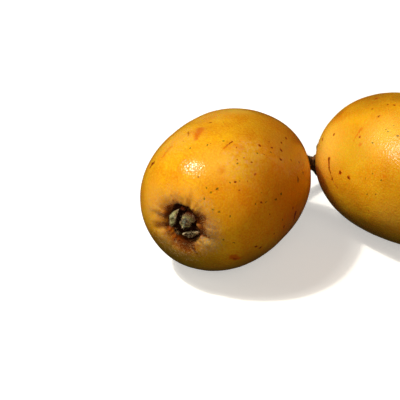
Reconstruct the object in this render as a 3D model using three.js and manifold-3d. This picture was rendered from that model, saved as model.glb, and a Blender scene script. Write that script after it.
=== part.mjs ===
// Loquat cluster, as picked: two ripe fruits on one forked stalk, lying on a flat surface.
// Millimetres, +Z up. The origin is the centre of the footprint, on the surface.
// Each fruit is built along its own axis, which runs from the eye (the blossom end) at -Z to the
// stem end at +Z, and is then turned to the way it lies.

import * as THREE from "three";
import { mergeVertices } from "three/addons/utils/BufferGeometryUtils.js";
import Module from "manifold-3d";

const wasm = await Module();
wasm.setup();

// ---- driving dimensions ----------------------------------------------------------------------

// One fruit at full size. The widest ring is nearer the eye than the stem.
const WAIST_RADIUS = 18.5;
const EYE_HALF = 22.5; // widest ring to the eye end
const STEM_HALF = 25; // widest ring to the stem end
const EYE_BLUNTNESS = 2.4; // 2 is an ellipse, and more is fuller at the shoulders
const STEM_BLUNTNESS = 2.3;
const LOBES = [
  { waves: 2, swell: 0.0287, turn: 0.456 },
  { waves: 3, swell: 0.0111, turn: 4.041 },
]; // how its section departs from a circle

// The eye lies a little off the axis, in a shallow basin whose skin is puckered. The stem end has a
// slight dimple.
const EYE_PLACE = [1.25, -0.2];
const BASIN_DEPTH = 2.4;
const BASIN_RADIUS = 8;
const CREASE_DEPTH = 0.6;
const CREASE_RING = 5.2; // where the creases are deepest, from the middle of the eye
const CREASE_REACH = 10; // where they have faded out
const CREASES = [
  { at: 3, wide: 9, deep: 0.9 },
  { at: 65, wide: 11, deep: 1.1 },
  { at: 109, wide: 9, deep: 0.7 },
  { at: 154, wide: 8, deep: 0.6 },
  { at: 201, wide: 8, deep: 0.8 },
  { at: 250, wide: 9, deep: 1.1 },
  { at: 292, wide: 9, deep: 0.8 },
  { at: 338, wide: 9, deep: 0.9 },
]; // place and width in degrees round the eye, from the fruit's left
const DIMPLE_DEPTH = 1.1;
const DIMPLE_RADIUS = 6;

// How each fruit lies: its centre on the plan, the heading of its stem end from +Y towards +X, how
// far the stem end dips, and its share of full size.
const FRUITS = [
  { name: "left", centre: [0, 0], heading: 24.7, dip: 4.5, size: 1, turn: 0 },
  { name: "right", centre: [45.7, 9.9], heading: -43.6, dip: 3.4, size: 0.996, turn: 195.3 },
];
const SETTLE = 0.3; // how far a fruit's weight flattens it where it rests

// The calyx: a low, oval cup with five thick, blunt sepals that fold in over it.
const POCKET_LONG = 5; // half the oval hole in the skin that the cup stands in, the long way
const POCKET_SHORT = 3.85;
const POCKET_TURN = 48.6; // of its long way, in degrees round the eye
const CUP_RADIUS = 4.2; // before it is drawn into the oval
const CUP_FLOOR = 18.6; // distance of the cup's underside from the widest ring
const CUP_RIM = 20.3;
const CUP_WALL = 0.9;
const SEPAL_THICKNESS = 0.9;
const SEPAL_THINNING = 0.4; // share of its thickness that is gone at the tip
const SEPAL_ROUNDING = 0.35; // share of its width that the round tip takes off
const SEPAL_DROOP = 0.35; // how far its sides hang below its spine
const SEPAL_STAND = [40, 90]; // degrees between its back and the eye's axis, at its root and tip
const SEPALS = [
  { root: [[1.7, 3.0], [3.4, -1.4]], tip: [[1.2, 3.5], [2.1, -0.6]], bulge: [0.9, 0], rise: 1.7 },
  { root: [[1.5, 3.6], [-0.2, 3.6]], tip: [[1.0, 3.1], [0.0, 3.0]], bulge: [0.1, 0], rise: 0.2 },
  { root: [[-0.1, 2.9], [-3.0, 1.6]], tip: [[0.7, -0.1], [-1.5, -0.4]], bulge: [0.6, 0.2], rise: 1.8 },
  { root: [[0.3, -3.3], [-4.0, -1.7]], tip: [[0.1, -2.5], [-3.7, -1.2]], bulge: [0.5, 0.1], rise: 1.1 },
  { root: [[2.8, -1.9], [0.8, -3.5]], tip: [[2.4, -1.6], [0.9, -3.0]], bulge: [0.1, 0], rise: 0.7 },
]; // corners on the plan from the middle of the eye, to the fruit's left and up, how far the root
// bulges outwards and the tip inwards, and the rise above the cup's rim

// The stalk: two pedicels that meet at a fork, and the main stalk, cut off behind it.
const PEDICEL_RADIUS = 1.45;
const PEDICEL_COLLAR = 2.1; // radius of the collar just outside the fruit
const COLLAR_AT = 1.2; // distance of the collar from the skin
const COLLAR_SHARE = 0.05; // half its length, as a share of the pedicel's
const PEDICEL_SINK = 3; // how far its tip goes into the fruit
const PEDICEL_STRAIGHT = 3.5; // how far it runs out along the fruit's axis before it bends
const PEDICEL_BEND = 0.4; // how far the bend is drawn towards the fork
const FORK_SWELL = 0.5; // what a pedicel's radius gains at the fork
const FORK_SHARE = 0.2; // over this last share of its length
const STALK_RADIUS = 2.2;
const STALK_END_RADIUS = 2.7;
const STALK_START = [25.7, 33.6, 4.7];
const FORK = [26.0, 35.1, 4.3];
const STALK_BEND = [28.4, 45.2, 3.2];
const STALK_END = [33.4, 56.4, 2.3];
const CUT_SLANT = 18; // degrees
const CUT_BACK = 1.2; // how much of the stalk's end the slanted cut takes off
const KNUCKLES = [0.3, 0.62]; // bract scars along the main stalk, as shares of its length
const KNUCKLE_SWELL = 0.45;
const KNUCKLE_SHARE = 0.06;
const STUBS = [
  { along: 0.08, side: 20, long: 6.0 },
  { along: 0.33, side: 250, long: 4.4 },
  { along: 0.66, side: 80, long: 4.8 },
]; // flower stalks that bore no fruit: place along the stalk, degrees round it, and length
const STUB_RADIUS = 0.95;
const STUB_WAIST = 0.3; // share of its radius that is gone halfway along
const STUB_LEAN = 0.7; // how far it leans on towards the fruits, where 0 is square to the stalk

const GAP = 0.3; // clearance between pieces that meet
const FRUIT_RINGS = 31;
const FRUIT_SIDES = 54;
const POLE_CROWDING = 0.6; // draws the rings together at both ends of a fruit
const CUP_SIDES = 24;
const SEPAL_MESH = { steps: 7, sides: 10 };
const STALK_MESH = { steps: 26, sides: 14 };
const PEDICEL_MESH = { steps: 20, sides: 12 };
const STUB_MESH = { steps: 7, sides: 8 };
const FLOOR_BLOCK = 400;
const CUT_BLOCK = 20;

// ---- helpers ---------------------------------------------------------------------------------

const radians = THREE.MathUtils.degToRad;
const vector = (x, y, z) => new THREE.Vector3(x, y, z);

// A bell that is 1 at x = 0 and falls to 0, with no slope, at 1 on either side.
function bell(x) {
  return Math.abs(x) >= 1 ? 0 : (1 - x * x) ** 2;
}

// A closed solid through rings of points, each ring the same length, capped at both ends.
function loft(rings) {
  const sides = rings[0].length;
  const points = rings.flat();
  const first = points.length;
  for (const ring of [rings[0], rings.at(-1)]) {
    const middle = ring.reduce((sum, p) => sum.add(p), vector(0, 0, 0));
    points.push(middle.divideScalar(sides));
  }
  const faces = [];
  for (let i = 0; i < rings.length - 1; i++) {
    for (let j = 0; j < sides; j++) {
      const a = i * sides + j;
      const b = i * sides + ((j + 1) % sides);
      faces.push(a, b, b + sides, a, b + sides, a + sides);
    }
  }
  const last = (rings.length - 1) * sides;
  for (let j = 0; j < sides; j++) {
    const next = (j + 1) % sides;
    faces.push(first, next, j);
    faces.push(first + 1, last + j, last + next);
  }
  const geometry = new THREE.BufferGeometry().setFromPoints(points);
  geometry.setIndex(faces);
  return geometry;
}

// A three.js geometry as a manifold-3d solid, and back.
function solid(geometry) {
  const bare = geometry.clone();
  bare.deleteAttribute("normal");
  bare.deleteAttribute("uv");
  const merged = mergeVertices(bare, 1e-4);
  const vertProperties = new Float32Array(merged.attributes.position.array);
  const triVerts = new Uint32Array(merged.index.array);
  return new wasm.Manifold(new wasm.Mesh({ numProp: 3, vertProperties, triVerts }));
}

function shape(body) {
  const mesh = body.getMesh();
  const geometry = new THREE.BufferGeometry();
  geometry.setAttribute("position", new THREE.BufferAttribute(mesh.vertProperties, 3));
  geometry.setIndex(new THREE.BufferAttribute(mesh.triVerts, 1));
  geometry.computeVertexNormals();
  return geometry;
}

// A smooth step from 0 at x = 0 to 1 at x = 1.
function ease(x) {
  const t = Math.min(Math.max(x, 0), 1);
  return t * t * (3 - 2 * t);
}

// A plain round plug along Z, from low to high, with its middle at (x, y).
function plug(radius, low, high, [x, y]) {
  const geometry = new THREE.CylinderGeometry(radius, radius, high - low, CUP_SIDES);
  geometry.rotateX(Math.PI / 2);
  geometry.translate(x, y, (low + high) / 2);
  return solid(geometry);
}

// Everything below the surface that the cluster lies on.
function belowFloor() {
  const block = new THREE.BoxGeometry(FLOOR_BLOCK, FLOOR_BLOCK, FLOOR_BLOCK);
  return solid(block.translate(0, 0, -FLOOR_BLOCK / 2));
}

// ---- fruit -----------------------------------------------------------------------------------

// How deep the skin is creased at an angle round the eye, from 0 to about 1.
function creaseAt(degrees) {
  let deep = 0;
  for (const crease of CREASES) {
    const off = ((degrees - crease.at + 540) % 360) - 180;
    deep += crease.deep * Math.exp(-((off / crease.wide) ** 2));
  }
  return deep;
}

// A point of the full-size fruit's skin. share runs from 0 at the eye to 1 at the stem end.
function skinPoint(share, angle) {
  const t = Math.PI * share - (POLE_CROWDING / 2) * Math.sin(2 * Math.PI * share);
  const towardsEye = Math.cos(t) > 0;
  const half = towardsEye ? -EYE_HALF : STEM_HALF;
  const bluntness = towardsEye ? EYE_BLUNTNESS : STEM_BLUNTNESS;
  let z = half * Math.abs(Math.cos(t)) ** (2 / bluntness);
  let r = WAIST_RADIUS * Math.abs(Math.sin(t)) ** (2 / bluntness);
  r *= LOBES.reduce((sum, { waves, swell, turn }) => sum + swell * Math.cos(waves * angle + turn), 1);
  const x = r * Math.cos(angle);
  const y = r * Math.sin(angle);
  if (towardsEye) {
    const eyeX = x - EYE_PLACE[0];
    const eyeY = y - EYE_PLACE[1];
    const fromEye = Math.hypot(eyeX, eyeY);
    z += BASIN_DEPTH * bell(fromEye / BASIN_RADIUS);
    const fromRing = (fromEye - CREASE_RING) / (CREASE_REACH - CREASE_RING);
    z += CREASE_DEPTH * bell(fromRing) * creaseAt(THREE.MathUtils.radToDeg(Math.atan2(eyeY, eyeX)));
  } else {
    z -= DIMPLE_DEPTH * bell(r / DIMPLE_RADIUS);
  }
  return vector(x, y, z);
}

function skinRings() {
  const rings = [];
  for (let i = 1; i < FRUIT_RINGS; i++) {
    const ring = [];
    for (let j = 0; j < FRUIT_SIDES; j++) {
      ring.push(skinPoint(i / FRUIT_RINGS, (2 * Math.PI * j) / FRUIT_SIDES));
    }
    rings.push(ring);
  }
  return rings;
}

// The turn, size and place of one fruit. Its height puts its lowest point SETTLE below the surface.
function lie(fruit) {
  const heading = radians(fruit.heading);
  const dip = radians(fruit.dip);
  const axis = vector(Math.sin(heading), Math.cos(heading), -Math.tan(dip)).normalize();
  const side = vector(0, 0, 1).cross(axis).normalize();
  const up = axis.clone().cross(side);
  const size = vector(fruit.size, fruit.size, fruit.size);
  const turned = new THREE.Matrix4().makeRotationZ(radians(fruit.turn)).scale(size);
  const matrix = new THREE.Matrix4().makeBasis(side, up, axis).multiply(turned);
  const skin = loft(skinRings()).applyMatrix4(matrix);
  skin.computeBoundingBox();
  const [x, y] = fruit.centre;
  return matrix.setPosition(x, y, -skin.boundingBox.min.z - SETTLE);
}

// Draws what is round about the Z axis into the oval of the eye.
function ovalEye() {
  const turn = radians(POCKET_TURN);
  const radius = CUP_RADIUS + GAP;
  const squeeze = new THREE.Matrix4().makeScale(POCKET_LONG / radius, POCKET_SHORT / radius, 1);
  const back = new THREE.Matrix4().makeRotationZ(-turn);
  return new THREE.Matrix4().makeRotationZ(turn).multiply(squeeze).multiply(back);
}

function fruitBody(matrix) {
  const body = solid(loft(skinRings()));
  const round = shape(plug(CUP_RADIUS + GAP, -EYE_HALF, -CUP_FLOOR + GAP, [0, 0]));
  const eyePocket = solid(round.applyMatrix4(ovalEye()).translate(EYE_PLACE[0], EYE_PLACE[1], 0));
  const stemHole = plug(PEDICEL_RADIUS + GAP, STEM_HALF - DIMPLE_DEPTH - PEDICEL_SINK, STEM_HALF, [0, 0]);
  const whole = shape(body.subtract(eyePocket).subtract(stemHole));
  return shape(solid(whole.applyMatrix4(matrix)).subtract(belowFloor()));
}

// ---- calyx -----------------------------------------------------------------------------------

// The cup's profile, from the axis out, over the rim and back to the axis.
function cup() {
  const profile = [
    [0, -CUP_FLOOR],
    [0, -CUP_FLOOR - CUP_WALL],
    [CUP_RADIUS - 2 * CUP_WALL, -CUP_FLOOR - CUP_WALL],
    [CUP_RADIUS - CUP_WALL, -CUP_RIM],
    [CUP_RADIUS - CUP_WALL / 4, -CUP_RIM],
    [CUP_RADIUS, -CUP_RIM + CUP_WALL / 2],
    [CUP_RADIUS, -CUP_FLOOR],
    [0, -CUP_FLOOR],
  ];
  const outline = profile.map(([r, z]) => new THREE.Vector2(r, z));
  const geometry = new THREE.LatheGeometry(outline, CUP_SIDES);
  return solid(geometry.rotateX(Math.PI / 2).applyMatrix4(ovalEye()));
}

// One sepal: a thick tongue that climbs from the cup's rim and folds in over the eye.
function sepal({ root, tip, bulge, rise }) {
  const [rootStart, rootEnd, tipStart, tipEnd] = [...root, ...tip].map((p) => new THREE.Vector2(...p));
  const outwards = rootStart.clone().add(rootEnd).normalize();
  const low = CUP_RIM - CUP_WALL;
  const { steps, sides } = SEPAL_MESH;
  const rings = [];
  for (let i = 0; i <= steps; i++) {
    const s = i / steps;
    const middle = low + (CUP_RIM + rise - low) * (1 - (1 - Math.min(2 * s, 1)) ** 2);
    const stand = radians(THREE.MathUtils.lerp(...SEPAL_STAND, ease(2 * s)));
    const halfThick = (SEPAL_THICKNESS / 2) * (1 - SEPAL_THINNING * s);
    const ring = [];
    for (let j = 0; j < sides; j++) {
      const angle = (2 * Math.PI * j) / sides;
      const side = Math.cos(angle);
      const share = (1 + side * (1 - SEPAL_ROUNDING * s ** 10)) / 2;
      const bow = (bulge[0] * (1 - s) - bulge[1] * s) * (1 - side ** 2);
      const thick = halfThick * Math.sin(angle) - SEPAL_DROOP * side ** 2 * ease(2 * s);
      const plan = rootStart.clone().lerp(rootEnd, share).lerp(tipStart.clone().lerp(tipEnd, share), s);
      plan.addScaledVector(outwards, bow + thick * Math.cos(stand));
      ring.push(vector(plan.x, plan.y, -(middle + thick * Math.sin(stand))));
    }
    rings.push(rootStart.cross(rootEnd) > 0 ? ring : ring.reverse());
  }
  return solid(loft(rings));
}

function calyxBody(matrix) {
  let body = cup();
  for (const tongue of SEPALS) body = body.add(sepal(tongue));
  return shape(body).translate(EYE_PLACE[0], EYE_PLACE[1], 0).applyMatrix4(matrix);
}

// ---- stalk -----------------------------------------------------------------------------------

// A round tube along a curve, whose radius follows radiusAt(share of its length).
function taperedTube(curve, radiusAt, { steps, sides }) {
  const frames = curve.computeFrenetFrames(steps, false);
  const rings = [];
  for (let i = 0; i <= steps; i++) {
    const s = i / steps;
    const middle = curve.getPointAt(s);
    const ring = [];
    for (let j = 0; j < sides; j++) {
      const angle = (2 * Math.PI * j) / sides;
      const out = frames.normals[i].clone().multiplyScalar(Math.cos(angle));
      out.addScaledVector(frames.binormals[i], Math.sin(angle));
      ring.push(middle.clone().addScaledVector(out, radiusAt(s)));
    }
    rings.push(ring);
  }
  return solid(loft(rings));
}

// A pedicel runs out of its fruit along the fruit's axis and bends down to the fork.
function pedicel(matrix) {
  const seat = STEM_HALF - DIMPLE_DEPTH;
  const onAxis = (z) => vector(0, 0, z).applyMatrix4(matrix);
  const fork = vector(...FORK);
  const curve = new THREE.CatmullRomCurve3([
    onAxis(seat - PEDICEL_SINK + GAP),
    onAxis(seat + GAP),
    onAxis(seat + PEDICEL_STRAIGHT),
    onAxis(seat + 1.6 * PEDICEL_STRAIGHT).lerp(fork, PEDICEL_BEND),
    fork,
  ]);
  const collar = (PEDICEL_SINK - GAP + COLLAR_AT) / curve.getLength();
  const radiusAt = (s) => {
    const collarSwell = (PEDICEL_COLLAR - PEDICEL_RADIUS) * bell((s - collar) / COLLAR_SHARE);
    const forkSwell = FORK_SWELL * Math.max(0, 1 - (1 - s) / FORK_SHARE);
    return PEDICEL_RADIUS + collarSwell + forkSwell;
  };
  return taperedTube(curve, radiusAt, PEDICEL_MESH);
}

function stalkCurve() {
  const route = [STALK_START, FORK, STALK_BEND, STALK_END];
  return new THREE.CatmullRomCurve3(route.map((point) => vector(...point)));
}

function stalkRadius(s) {
  let radius = STALK_RADIUS + (STALK_END_RADIUS - STALK_RADIUS) * s;
  for (const knuckle of KNUCKLES) radius += KNUCKLE_SWELL * bell((s - knuckle) / KNUCKLE_SHARE);
  return radius;
}

// The stub of a flower stalk that bore no fruit, standing off the main stalk at an angle round it.
function stub({ along, side, long }) {
  const stalk = stalkCurve();
  const root = stalk.getPointAt(along);
  const forward = stalk.getTangentAt(along).negate();
  const out = vector(0, 0, 1).applyAxisAngle(forward, radians(side));
  const lean = out.addScaledVector(forward, STUB_LEAN).normalize();
  const line = new THREE.LineCurve3(root, root.clone().addScaledVector(lean, long));
  const radiusAt = (s) => STUB_RADIUS * (1 - STUB_WAIST * bell(2 * s - 1));
  return taperedTube(line, radiusAt, STUB_MESH);
}

function stalkBody(matrices) {
  let body = taperedTube(stalkCurve(), stalkRadius, STALK_MESH);
  for (const matrix of matrices) body = body.add(pedicel(matrix));
  for (const short of STUBS) body = body.add(stub(short));
  const cut = new THREE.BoxGeometry(CUT_BLOCK, CUT_BLOCK, CUT_BLOCK).translate(0, CUT_BLOCK / 2, 0);
  cut.rotateZ(radians(CUT_SLANT)).translate(STALK_END[0], STALK_END[1] - CUT_BACK, STALK_END[2]);
  return shape(body.subtract(solid(cut)).subtract(belowFloor()));
}

// ---- assembly --------------------------------------------------------------------------------

const skin = new THREE.MeshStandardMaterial({ color: 0xe69a12, roughness: 0.42, metalness: 0 });
const sepalFelt = new THREE.MeshStandardMaterial({ color: 0x5d5a3c, roughness: 0.9, metalness: 0 });
const bark = new THREE.MeshStandardMaterial({ color: 0x7a5a38, roughness: 0.9, metalness: 0 });

function piece(name, geometry, material) {
  const mesh = new THREE.Mesh(geometry, material);
  mesh.name = name;
  return mesh;
}

const cluster = new THREE.Group();
const matrices = FRUITS.map(lie);
FRUITS.forEach((fruit, i) => {
  cluster.add(piece(`fruit_${fruit.name}`, fruitBody(matrices[i]), skin));
  cluster.add(piece(`calyx_${fruit.name}`, calyxBody(matrices[i]), sepalFelt));
});
cluster.add(piece("stalk", stalkBody(matrices), bark));

const footprint = new THREE.Box3().setFromObject(cluster).getCenter(vector(0, 0, 0));
cluster.position.set(-footprint.x, -footprint.y, 0);

export default cluster;
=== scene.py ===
"""Dresses a loquat cluster: ripe fruits on one forked, woolly stalk, as picked, lying on a floor.

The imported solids' boxes give the fruits' places, and the sizes here are the solids' own. Each
sub-assembly is a class that builds finer meshes in the place of its solids: skins that pucker round
the eye, felted sepals with dried stamens between them, and a stalk with bark, scars and wool. Sizes
are in millimetres, and a fruit's own frame has its eye at -Z, its stem end at +Z and +Y up as it
lies. Blender's objects are in metres.
"""

import logging
import math
from collections.abc import Callable, Iterable, Sequence
from dataclasses import dataclass, field
from enum import Enum
from functools import cache
from typing import ClassVar, NamedTuple

import bmesh
import bpy
import numpy as np
from mathutils import Matrix, Vector, noise
from mathutils.bvhtree import BVHTree


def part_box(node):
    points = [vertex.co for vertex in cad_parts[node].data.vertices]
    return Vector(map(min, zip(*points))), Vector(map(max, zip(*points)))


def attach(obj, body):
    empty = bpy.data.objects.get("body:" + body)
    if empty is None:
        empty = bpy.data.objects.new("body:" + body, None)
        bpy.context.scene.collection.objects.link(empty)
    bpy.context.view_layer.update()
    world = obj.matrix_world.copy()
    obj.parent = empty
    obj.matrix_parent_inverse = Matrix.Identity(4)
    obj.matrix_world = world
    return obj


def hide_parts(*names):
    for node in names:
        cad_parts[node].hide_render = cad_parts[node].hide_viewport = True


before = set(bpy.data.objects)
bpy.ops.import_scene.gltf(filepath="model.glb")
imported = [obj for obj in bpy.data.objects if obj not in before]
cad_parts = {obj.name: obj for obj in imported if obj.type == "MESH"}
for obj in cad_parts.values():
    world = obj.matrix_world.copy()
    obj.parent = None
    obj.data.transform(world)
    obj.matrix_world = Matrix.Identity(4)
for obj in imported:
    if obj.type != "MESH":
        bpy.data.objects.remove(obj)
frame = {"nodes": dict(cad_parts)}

LOG = logging.getLogger("loquat_cluster")
MM = 0.001  # metres in a millimetre
NEVER_ZERO = 1e-9  # keeps a sum or a length from being 0
Array = np.ndarray
Point = tuple[float, float, float]
Colour = tuple[float, float, float, float]
Density = Callable[[Array], Array]  # how thickly hairs stand at points, from 0 to 1
Piece = bpy.types.Object
Material = bpy.types.Material
Socket = bpy.types.NodeSocket
Value = Socket | float


# ---- numbers ----


def tint(code: str) -> Colour:
    """Turns a screen colour into Blender's linear one.

    Args:
        code: six hexadecimal digits, red first.

    Returns:
        Linear red, green and blue, and an alpha of 1.
    """
    parts = [int(code[i : i + 2], 16) / 255 for i in (0, 2, 4)]
    linear = [c / 12.92 if c <= 0.04045 else ((c + 0.055) / 1.055) ** 2.4 for c in parts]
    return (linear[0], linear[1], linear[2], 1.0)


def bell(x: Array) -> Array:
    """A bell that is 1 at 0 and falls to 0, with no slope, at 1 on either side."""
    return np.where(np.abs(x) < 1, (1 - x * x) ** 2, 0.0)


def ease(x: Array) -> Array:
    """A smooth step from 0 at x = 0 to 1 at x = 1."""
    t = np.clip(x, 0.0, 1.0)
    return t * t * (3 - 2 * t)


class Layer(NamedTuple):
    """One layer of a surface's unevenness, between about -weight and weight."""

    grain: float  # size of its features
    seed: float  # shifts it, so that no two layers are the same
    weight: float = 1.0


def roughness_at(points: Array, *layers: Layer) -> Array:
    """Smooth unevenness at points.

    Args:
        points: n by 3, in millimetres.
        layers: what it is the sum of.

    Returns:
        n values.
    """
    total = np.zeros(len(points))
    for grain, seed, weight in layers:
        total += weight * np.array([noise.noise(Vector(p)) for p in points / grain + seed])
    return total


class Route:
    """A smooth curve through points, followed by its length."""

    STEPS = 400
    GLANCE = 0.01  # share of the length over which a direction is taken

    def __init__(self, points: Sequence[Sequence[float]]) -> None:
        """Lays the curve.

        Args:
            points: what it passes through, in millimetres.
        """
        knots = [np.array(p, float) for p in points]
        knots = [2 * knots[0] - knots[1], *knots, 2 * knots[-1] - knots[-2]]
        pieces = [self._piece(knots[i : i + 4]) for i in range(len(knots) - 3)]
        self.line = np.vstack([piece[:-1] for piece in pieces] + [knots[-2][None]])
        steps = np.linalg.norm(np.diff(self.line, axis=0), axis=1)
        self.reach = np.concatenate([[0.0], np.cumsum(steps)])
        self.length = float(self.reach[-1])

    def _piece(self, knots: list[Array]) -> Array:
        """The stretch between the middle two of four knots, eased by the gaps between them.

        Args:
            knots: four points.

        Returns:
            STEPS by 3 points.
        """
        a, b, c, d = knots
        gaps = (float(np.linalg.norm(q - p)) for p, q in zip(knots, knots[1:]))
        ab, bc, cd = (max(gap, 1e-6) ** 0.5 for gap in gaps)
        leave = ((b - a) / ab - (c - a) / (ab + bc) + (c - b) / bc) * bc
        arrive = ((c - b) / bc - (d - b) / (bc + cd) + (d - c) / cd) * bc
        t = np.linspace(0, 1, self.STEPS)[:, None]
        from_start = (2 * t**3 - 3 * t**2 + 1) * b + (t**3 - 2 * t**2 + t) * leave
        return from_start + (3 * t**2 - 2 * t**3) * c + (t**3 - t**2) * arrive

    def at(self, share: float) -> Array:
        """The point at a share of the curve's length."""
        where = share * self.length
        return np.array([np.interp(where, self.reach, self.line[:, i]) for i in range(3)])

    def towards(self, share: float) -> Array:
        """The direction of travel at a share of the curve's length, of length 1."""
        step = self.at(min(share + self.GLANCE, 1.0)) - self.at(max(share - self.GLANCE, 0.0))
        return step / np.linalg.norm(step)


# ---- meshes ----


@dataclass
class Solid:
    """Points and faces of a piece while it is made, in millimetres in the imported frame."""

    points: list[Array] = field(default_factory=list)
    faces: list[list[int]] = field(default_factory=list)
    tones: list[Array] = field(default_factory=list)
    count: int = 0

    def add(self, points: Array, faces: Iterable[Sequence[int]], tones: Array | None = None) -> None:
        """Adds one body.

        Args:
            points: n by 3.
            faces: their corners, counted from 0 in points.
            tones: n by 3 values that the finish reads, or None where it reads none.
        """
        self.points.append(points)
        self.faces += [[corner + self.count for corner in face] for face in faces]
        self.tones.append(np.zeros((len(points), 3)) if tones is None else tones)
        self.count += len(points)

    def add_loft(self, rings: Array, tones: Array | None = None) -> None:
        """Adds a body through rings of points, closed at both ends, with its faces outwards.

        Args:
            rings: rings by sides by 3.
            tones: rings by sides by 3.
        """
        steps, sides = rings.shape[:2]
        ends = np.array([rings[0].mean(0), rings[-1].mean(0)])
        points = np.vstack([rings.reshape(-1, 3), ends])
        faces = []
        for i in range(steps - 1):
            here, there = i * sides, (i + 1) * sides
            for j in range(sides):
                k = (j + 1) % sides
                faces.append((here + j, here + k, there + k, there + j))
        first, last = steps * sides, (steps - 1) * sides
        for j in range(sides):
            k = (j + 1) % sides
            faces.append((first, k, j))
            faces.append((first + 1, last + j, last + k))
        fans = [(face[0], face[i], face[i + 1]) for face in faces for i in range(1, len(face) - 1)]
        a, b, c = (points[[fan[i] for fan in fans]] for i in range(3))
        if (a * np.cross(b, c)).sum() < 0:
            faces = [face[::-1] for face in faces]
        flat = None
        if tones is not None:
            flat = np.vstack([tones.reshape(-1, 3), [tones[0].mean(0), tones[-1].mean(0)]])
        self.add(points, faces, flat)

    def to_object(self, name: str) -> Piece:
        """Makes the Blender object, smooth shaded, with its tones as an attribute.

        Args:
            name: the piece's name.

        Returns:
            The object, in the scene.
        """
        mesh = bpy.data.meshes.new(name)
        points = np.vstack(self.points) * MM
        mesh.from_pydata(points.tolist(), [], self.faces)
        mesh.polygons.foreach_set("use_smooth", [True] * len(mesh.polygons))
        layer = mesh.attributes.new("tone", "FLOAT_VECTOR", "POINT")
        layer.data.foreach_set("vector", np.vstack(self.tones).ravel())
        mesh.update()
        return add_object(name, mesh)


def add_object(name: str, data: bpy.types.ID) -> Piece:
    """Puts a mesh, a lamp or a camera into the scene.

    Args:
        name: the object's name.
        data: what it shows.

    Returns:
        The object.
    """
    made = bpy.data.objects.new(name, data)
    bpy.context.scene.collection.objects.link(made)
    return made


def dress(piece: Piece, material: Material, instead_of: str = "") -> None:
    """Gives a piece its material and its body, hides the solid whose place it takes, and logs it.

    Args:
        piece: the piece.
        material: its finish.
        instead_of: the solid whose place it takes, or nothing.
    """
    piece.data.materials.append(material)
    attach(piece, "root")
    if instead_of:
        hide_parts(instead_of)
    LOG.info("%s: %d faces", piece.name, len(piece.data.polygons))


def read(mesh: bpy.types.Mesh, items: str, what: str) -> Array:
    """Reads a vector of every face or corner of a mesh.

    Args:
        mesh: the mesh.
        items: polygons or vertices.
        what: the vector's name.

    Returns:
        n by 3.
    """
    found = getattr(mesh, items)
    flat = np.zeros(len(found) * 3)
    found.foreach_get(what, flat)
    return flat.reshape(-1, 3)


def tube_rings(route: Route, radii: Array, sides: int) -> Array:
    """Rings round a curve that don't twist.

    Args:
        route: the tube's middle.
        radii: its radius at even steps from start to end.
        sides: points in a ring.

    Returns:
        rings by sides by 3.
    """
    shares = np.linspace(0, 1, len(radii))
    off_axis = (0.3, 0.2, 0.93)  # any way that no tube runs in
    across = np.cross(route.towards(0), off_axis)
    rings = []
    turns = np.linspace(0, 2 * math.pi, sides, endpoint=False)
    for share, radius in zip(shares, radii):
        along = route.towards(share)
        across = across - along * across.dot(along)
        across = across / np.linalg.norm(across)
        other = np.cross(along, across)
        ring = np.outer(np.cos(turns), across) + np.outer(np.sin(turns), other)
        rings.append(route.at(share) + ring * radius)
    return np.array(rings)


@dataclass(frozen=True)
class Wool:
    """Short hairs on a mesh, each a closed, tapered spike that leans over."""

    CORNERS: ClassVar[int] = 7  # three at the root, three at the knee and the tip
    SPIKE: ClassVar[tuple[tuple[int, ...], ...]] = (
        (0, 2, 1), (0, 1, 4, 3), (1, 2, 5, 4), (2, 0, 3, 5), (3, 4, 6), (4, 5, 6), (5, 3, 6),
    )

    number: int
    length: tuple[float, float]  # shortest and longest
    thickness: float
    lean: float  # 0 stands straight up, and 1 lies at half a right angle
    seed: int
    sunk: float = 0.05
    scatter: float = 0.4  # of the face that a hair stands on
    least_lean: float = 0.4  # share of the lean that the straightest hair has
    knee: float = 0.5  # share of the lean below the hair's middle
    tip_rise: float = 0.6
    above_floor: float = 0.02

    def grow(self, name: str, ground: Piece, density: Density) -> Piece:
        """Grows the hairs.

        Args:
            name: the new piece's name.
            ground: the mesh that they grow on.
            density: gives, for points in millimetres, how thickly hairs stand there.

        Returns:
            One object that holds every hair.
        """
        draw = np.random.default_rng(self.seed)
        mesh = ground.data
        centres = read(mesh, "polygons", "center") / MM
        areas = np.zeros(len(mesh.polygons))
        mesh.polygons.foreach_get("area", areas)
        weights = areas * (density(centres) + NEVER_ZERO)
        picked = draw.choice(len(areas), self.number, p=weights / weights.sum())
        widths = np.sqrt(areas[picked])[:, None]
        jitter = draw.normal(size=(self.number, 3)) * widths / MM * self.scatter
        up = read(mesh, "polygons", "normal")[picked]
        jitter -= up * (jitter * up).sum(1)[:, None]
        roots = centres[picked] + jitter - up * self.sunk
        aside = draw.normal(size=(self.number, 3))
        aside -= up * (aside * up).sum(1)[:, None]
        aside /= np.linalg.norm(aside, axis=1)[:, None]
        halves = draw.uniform(*self.length, self.number)[:, None] * 0.5
        lean = draw.uniform(self.least_lean, 1.0, self.number)[:, None] * self.lean
        middles = roots + (up + aside * lean * self.knee) * halves
        tips = middles + (up * self.tip_rise + aside * lean) * halves
        other = np.cross(up, aside)
        half = self.thickness / 2
        back = roots - aside * half / 2
        base = [roots + aside * half, back + other * half, back - other * half]
        waist = [p - roots + middles for p in base]
        points = np.stack([*base, *waist, tips], 1).reshape(-1, 3)
        points[:, 2] = np.maximum(points[:, 2], self.above_floor)
        starts = range(0, len(points), self.CORNERS)
        hairs = Solid()
        hairs.add(points, [[corner + start for corner in face] for start in starts for face in self.SPIKE])
        return hairs.to_object(name)


# ---- shader nodes ----


class Step(NamedTuple):
    """A smooth step from to_low, where a value is low, to to_high, where it is high."""

    low: Value
    high: Value
    to_low: float = 0.0
    to_high: float = 1.0


class Cloud(NamedTuple):
    """Noise with scale features to the millimetre."""

    scale: float
    detail: float = 2.0
    distortion: float = 0.0


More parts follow.
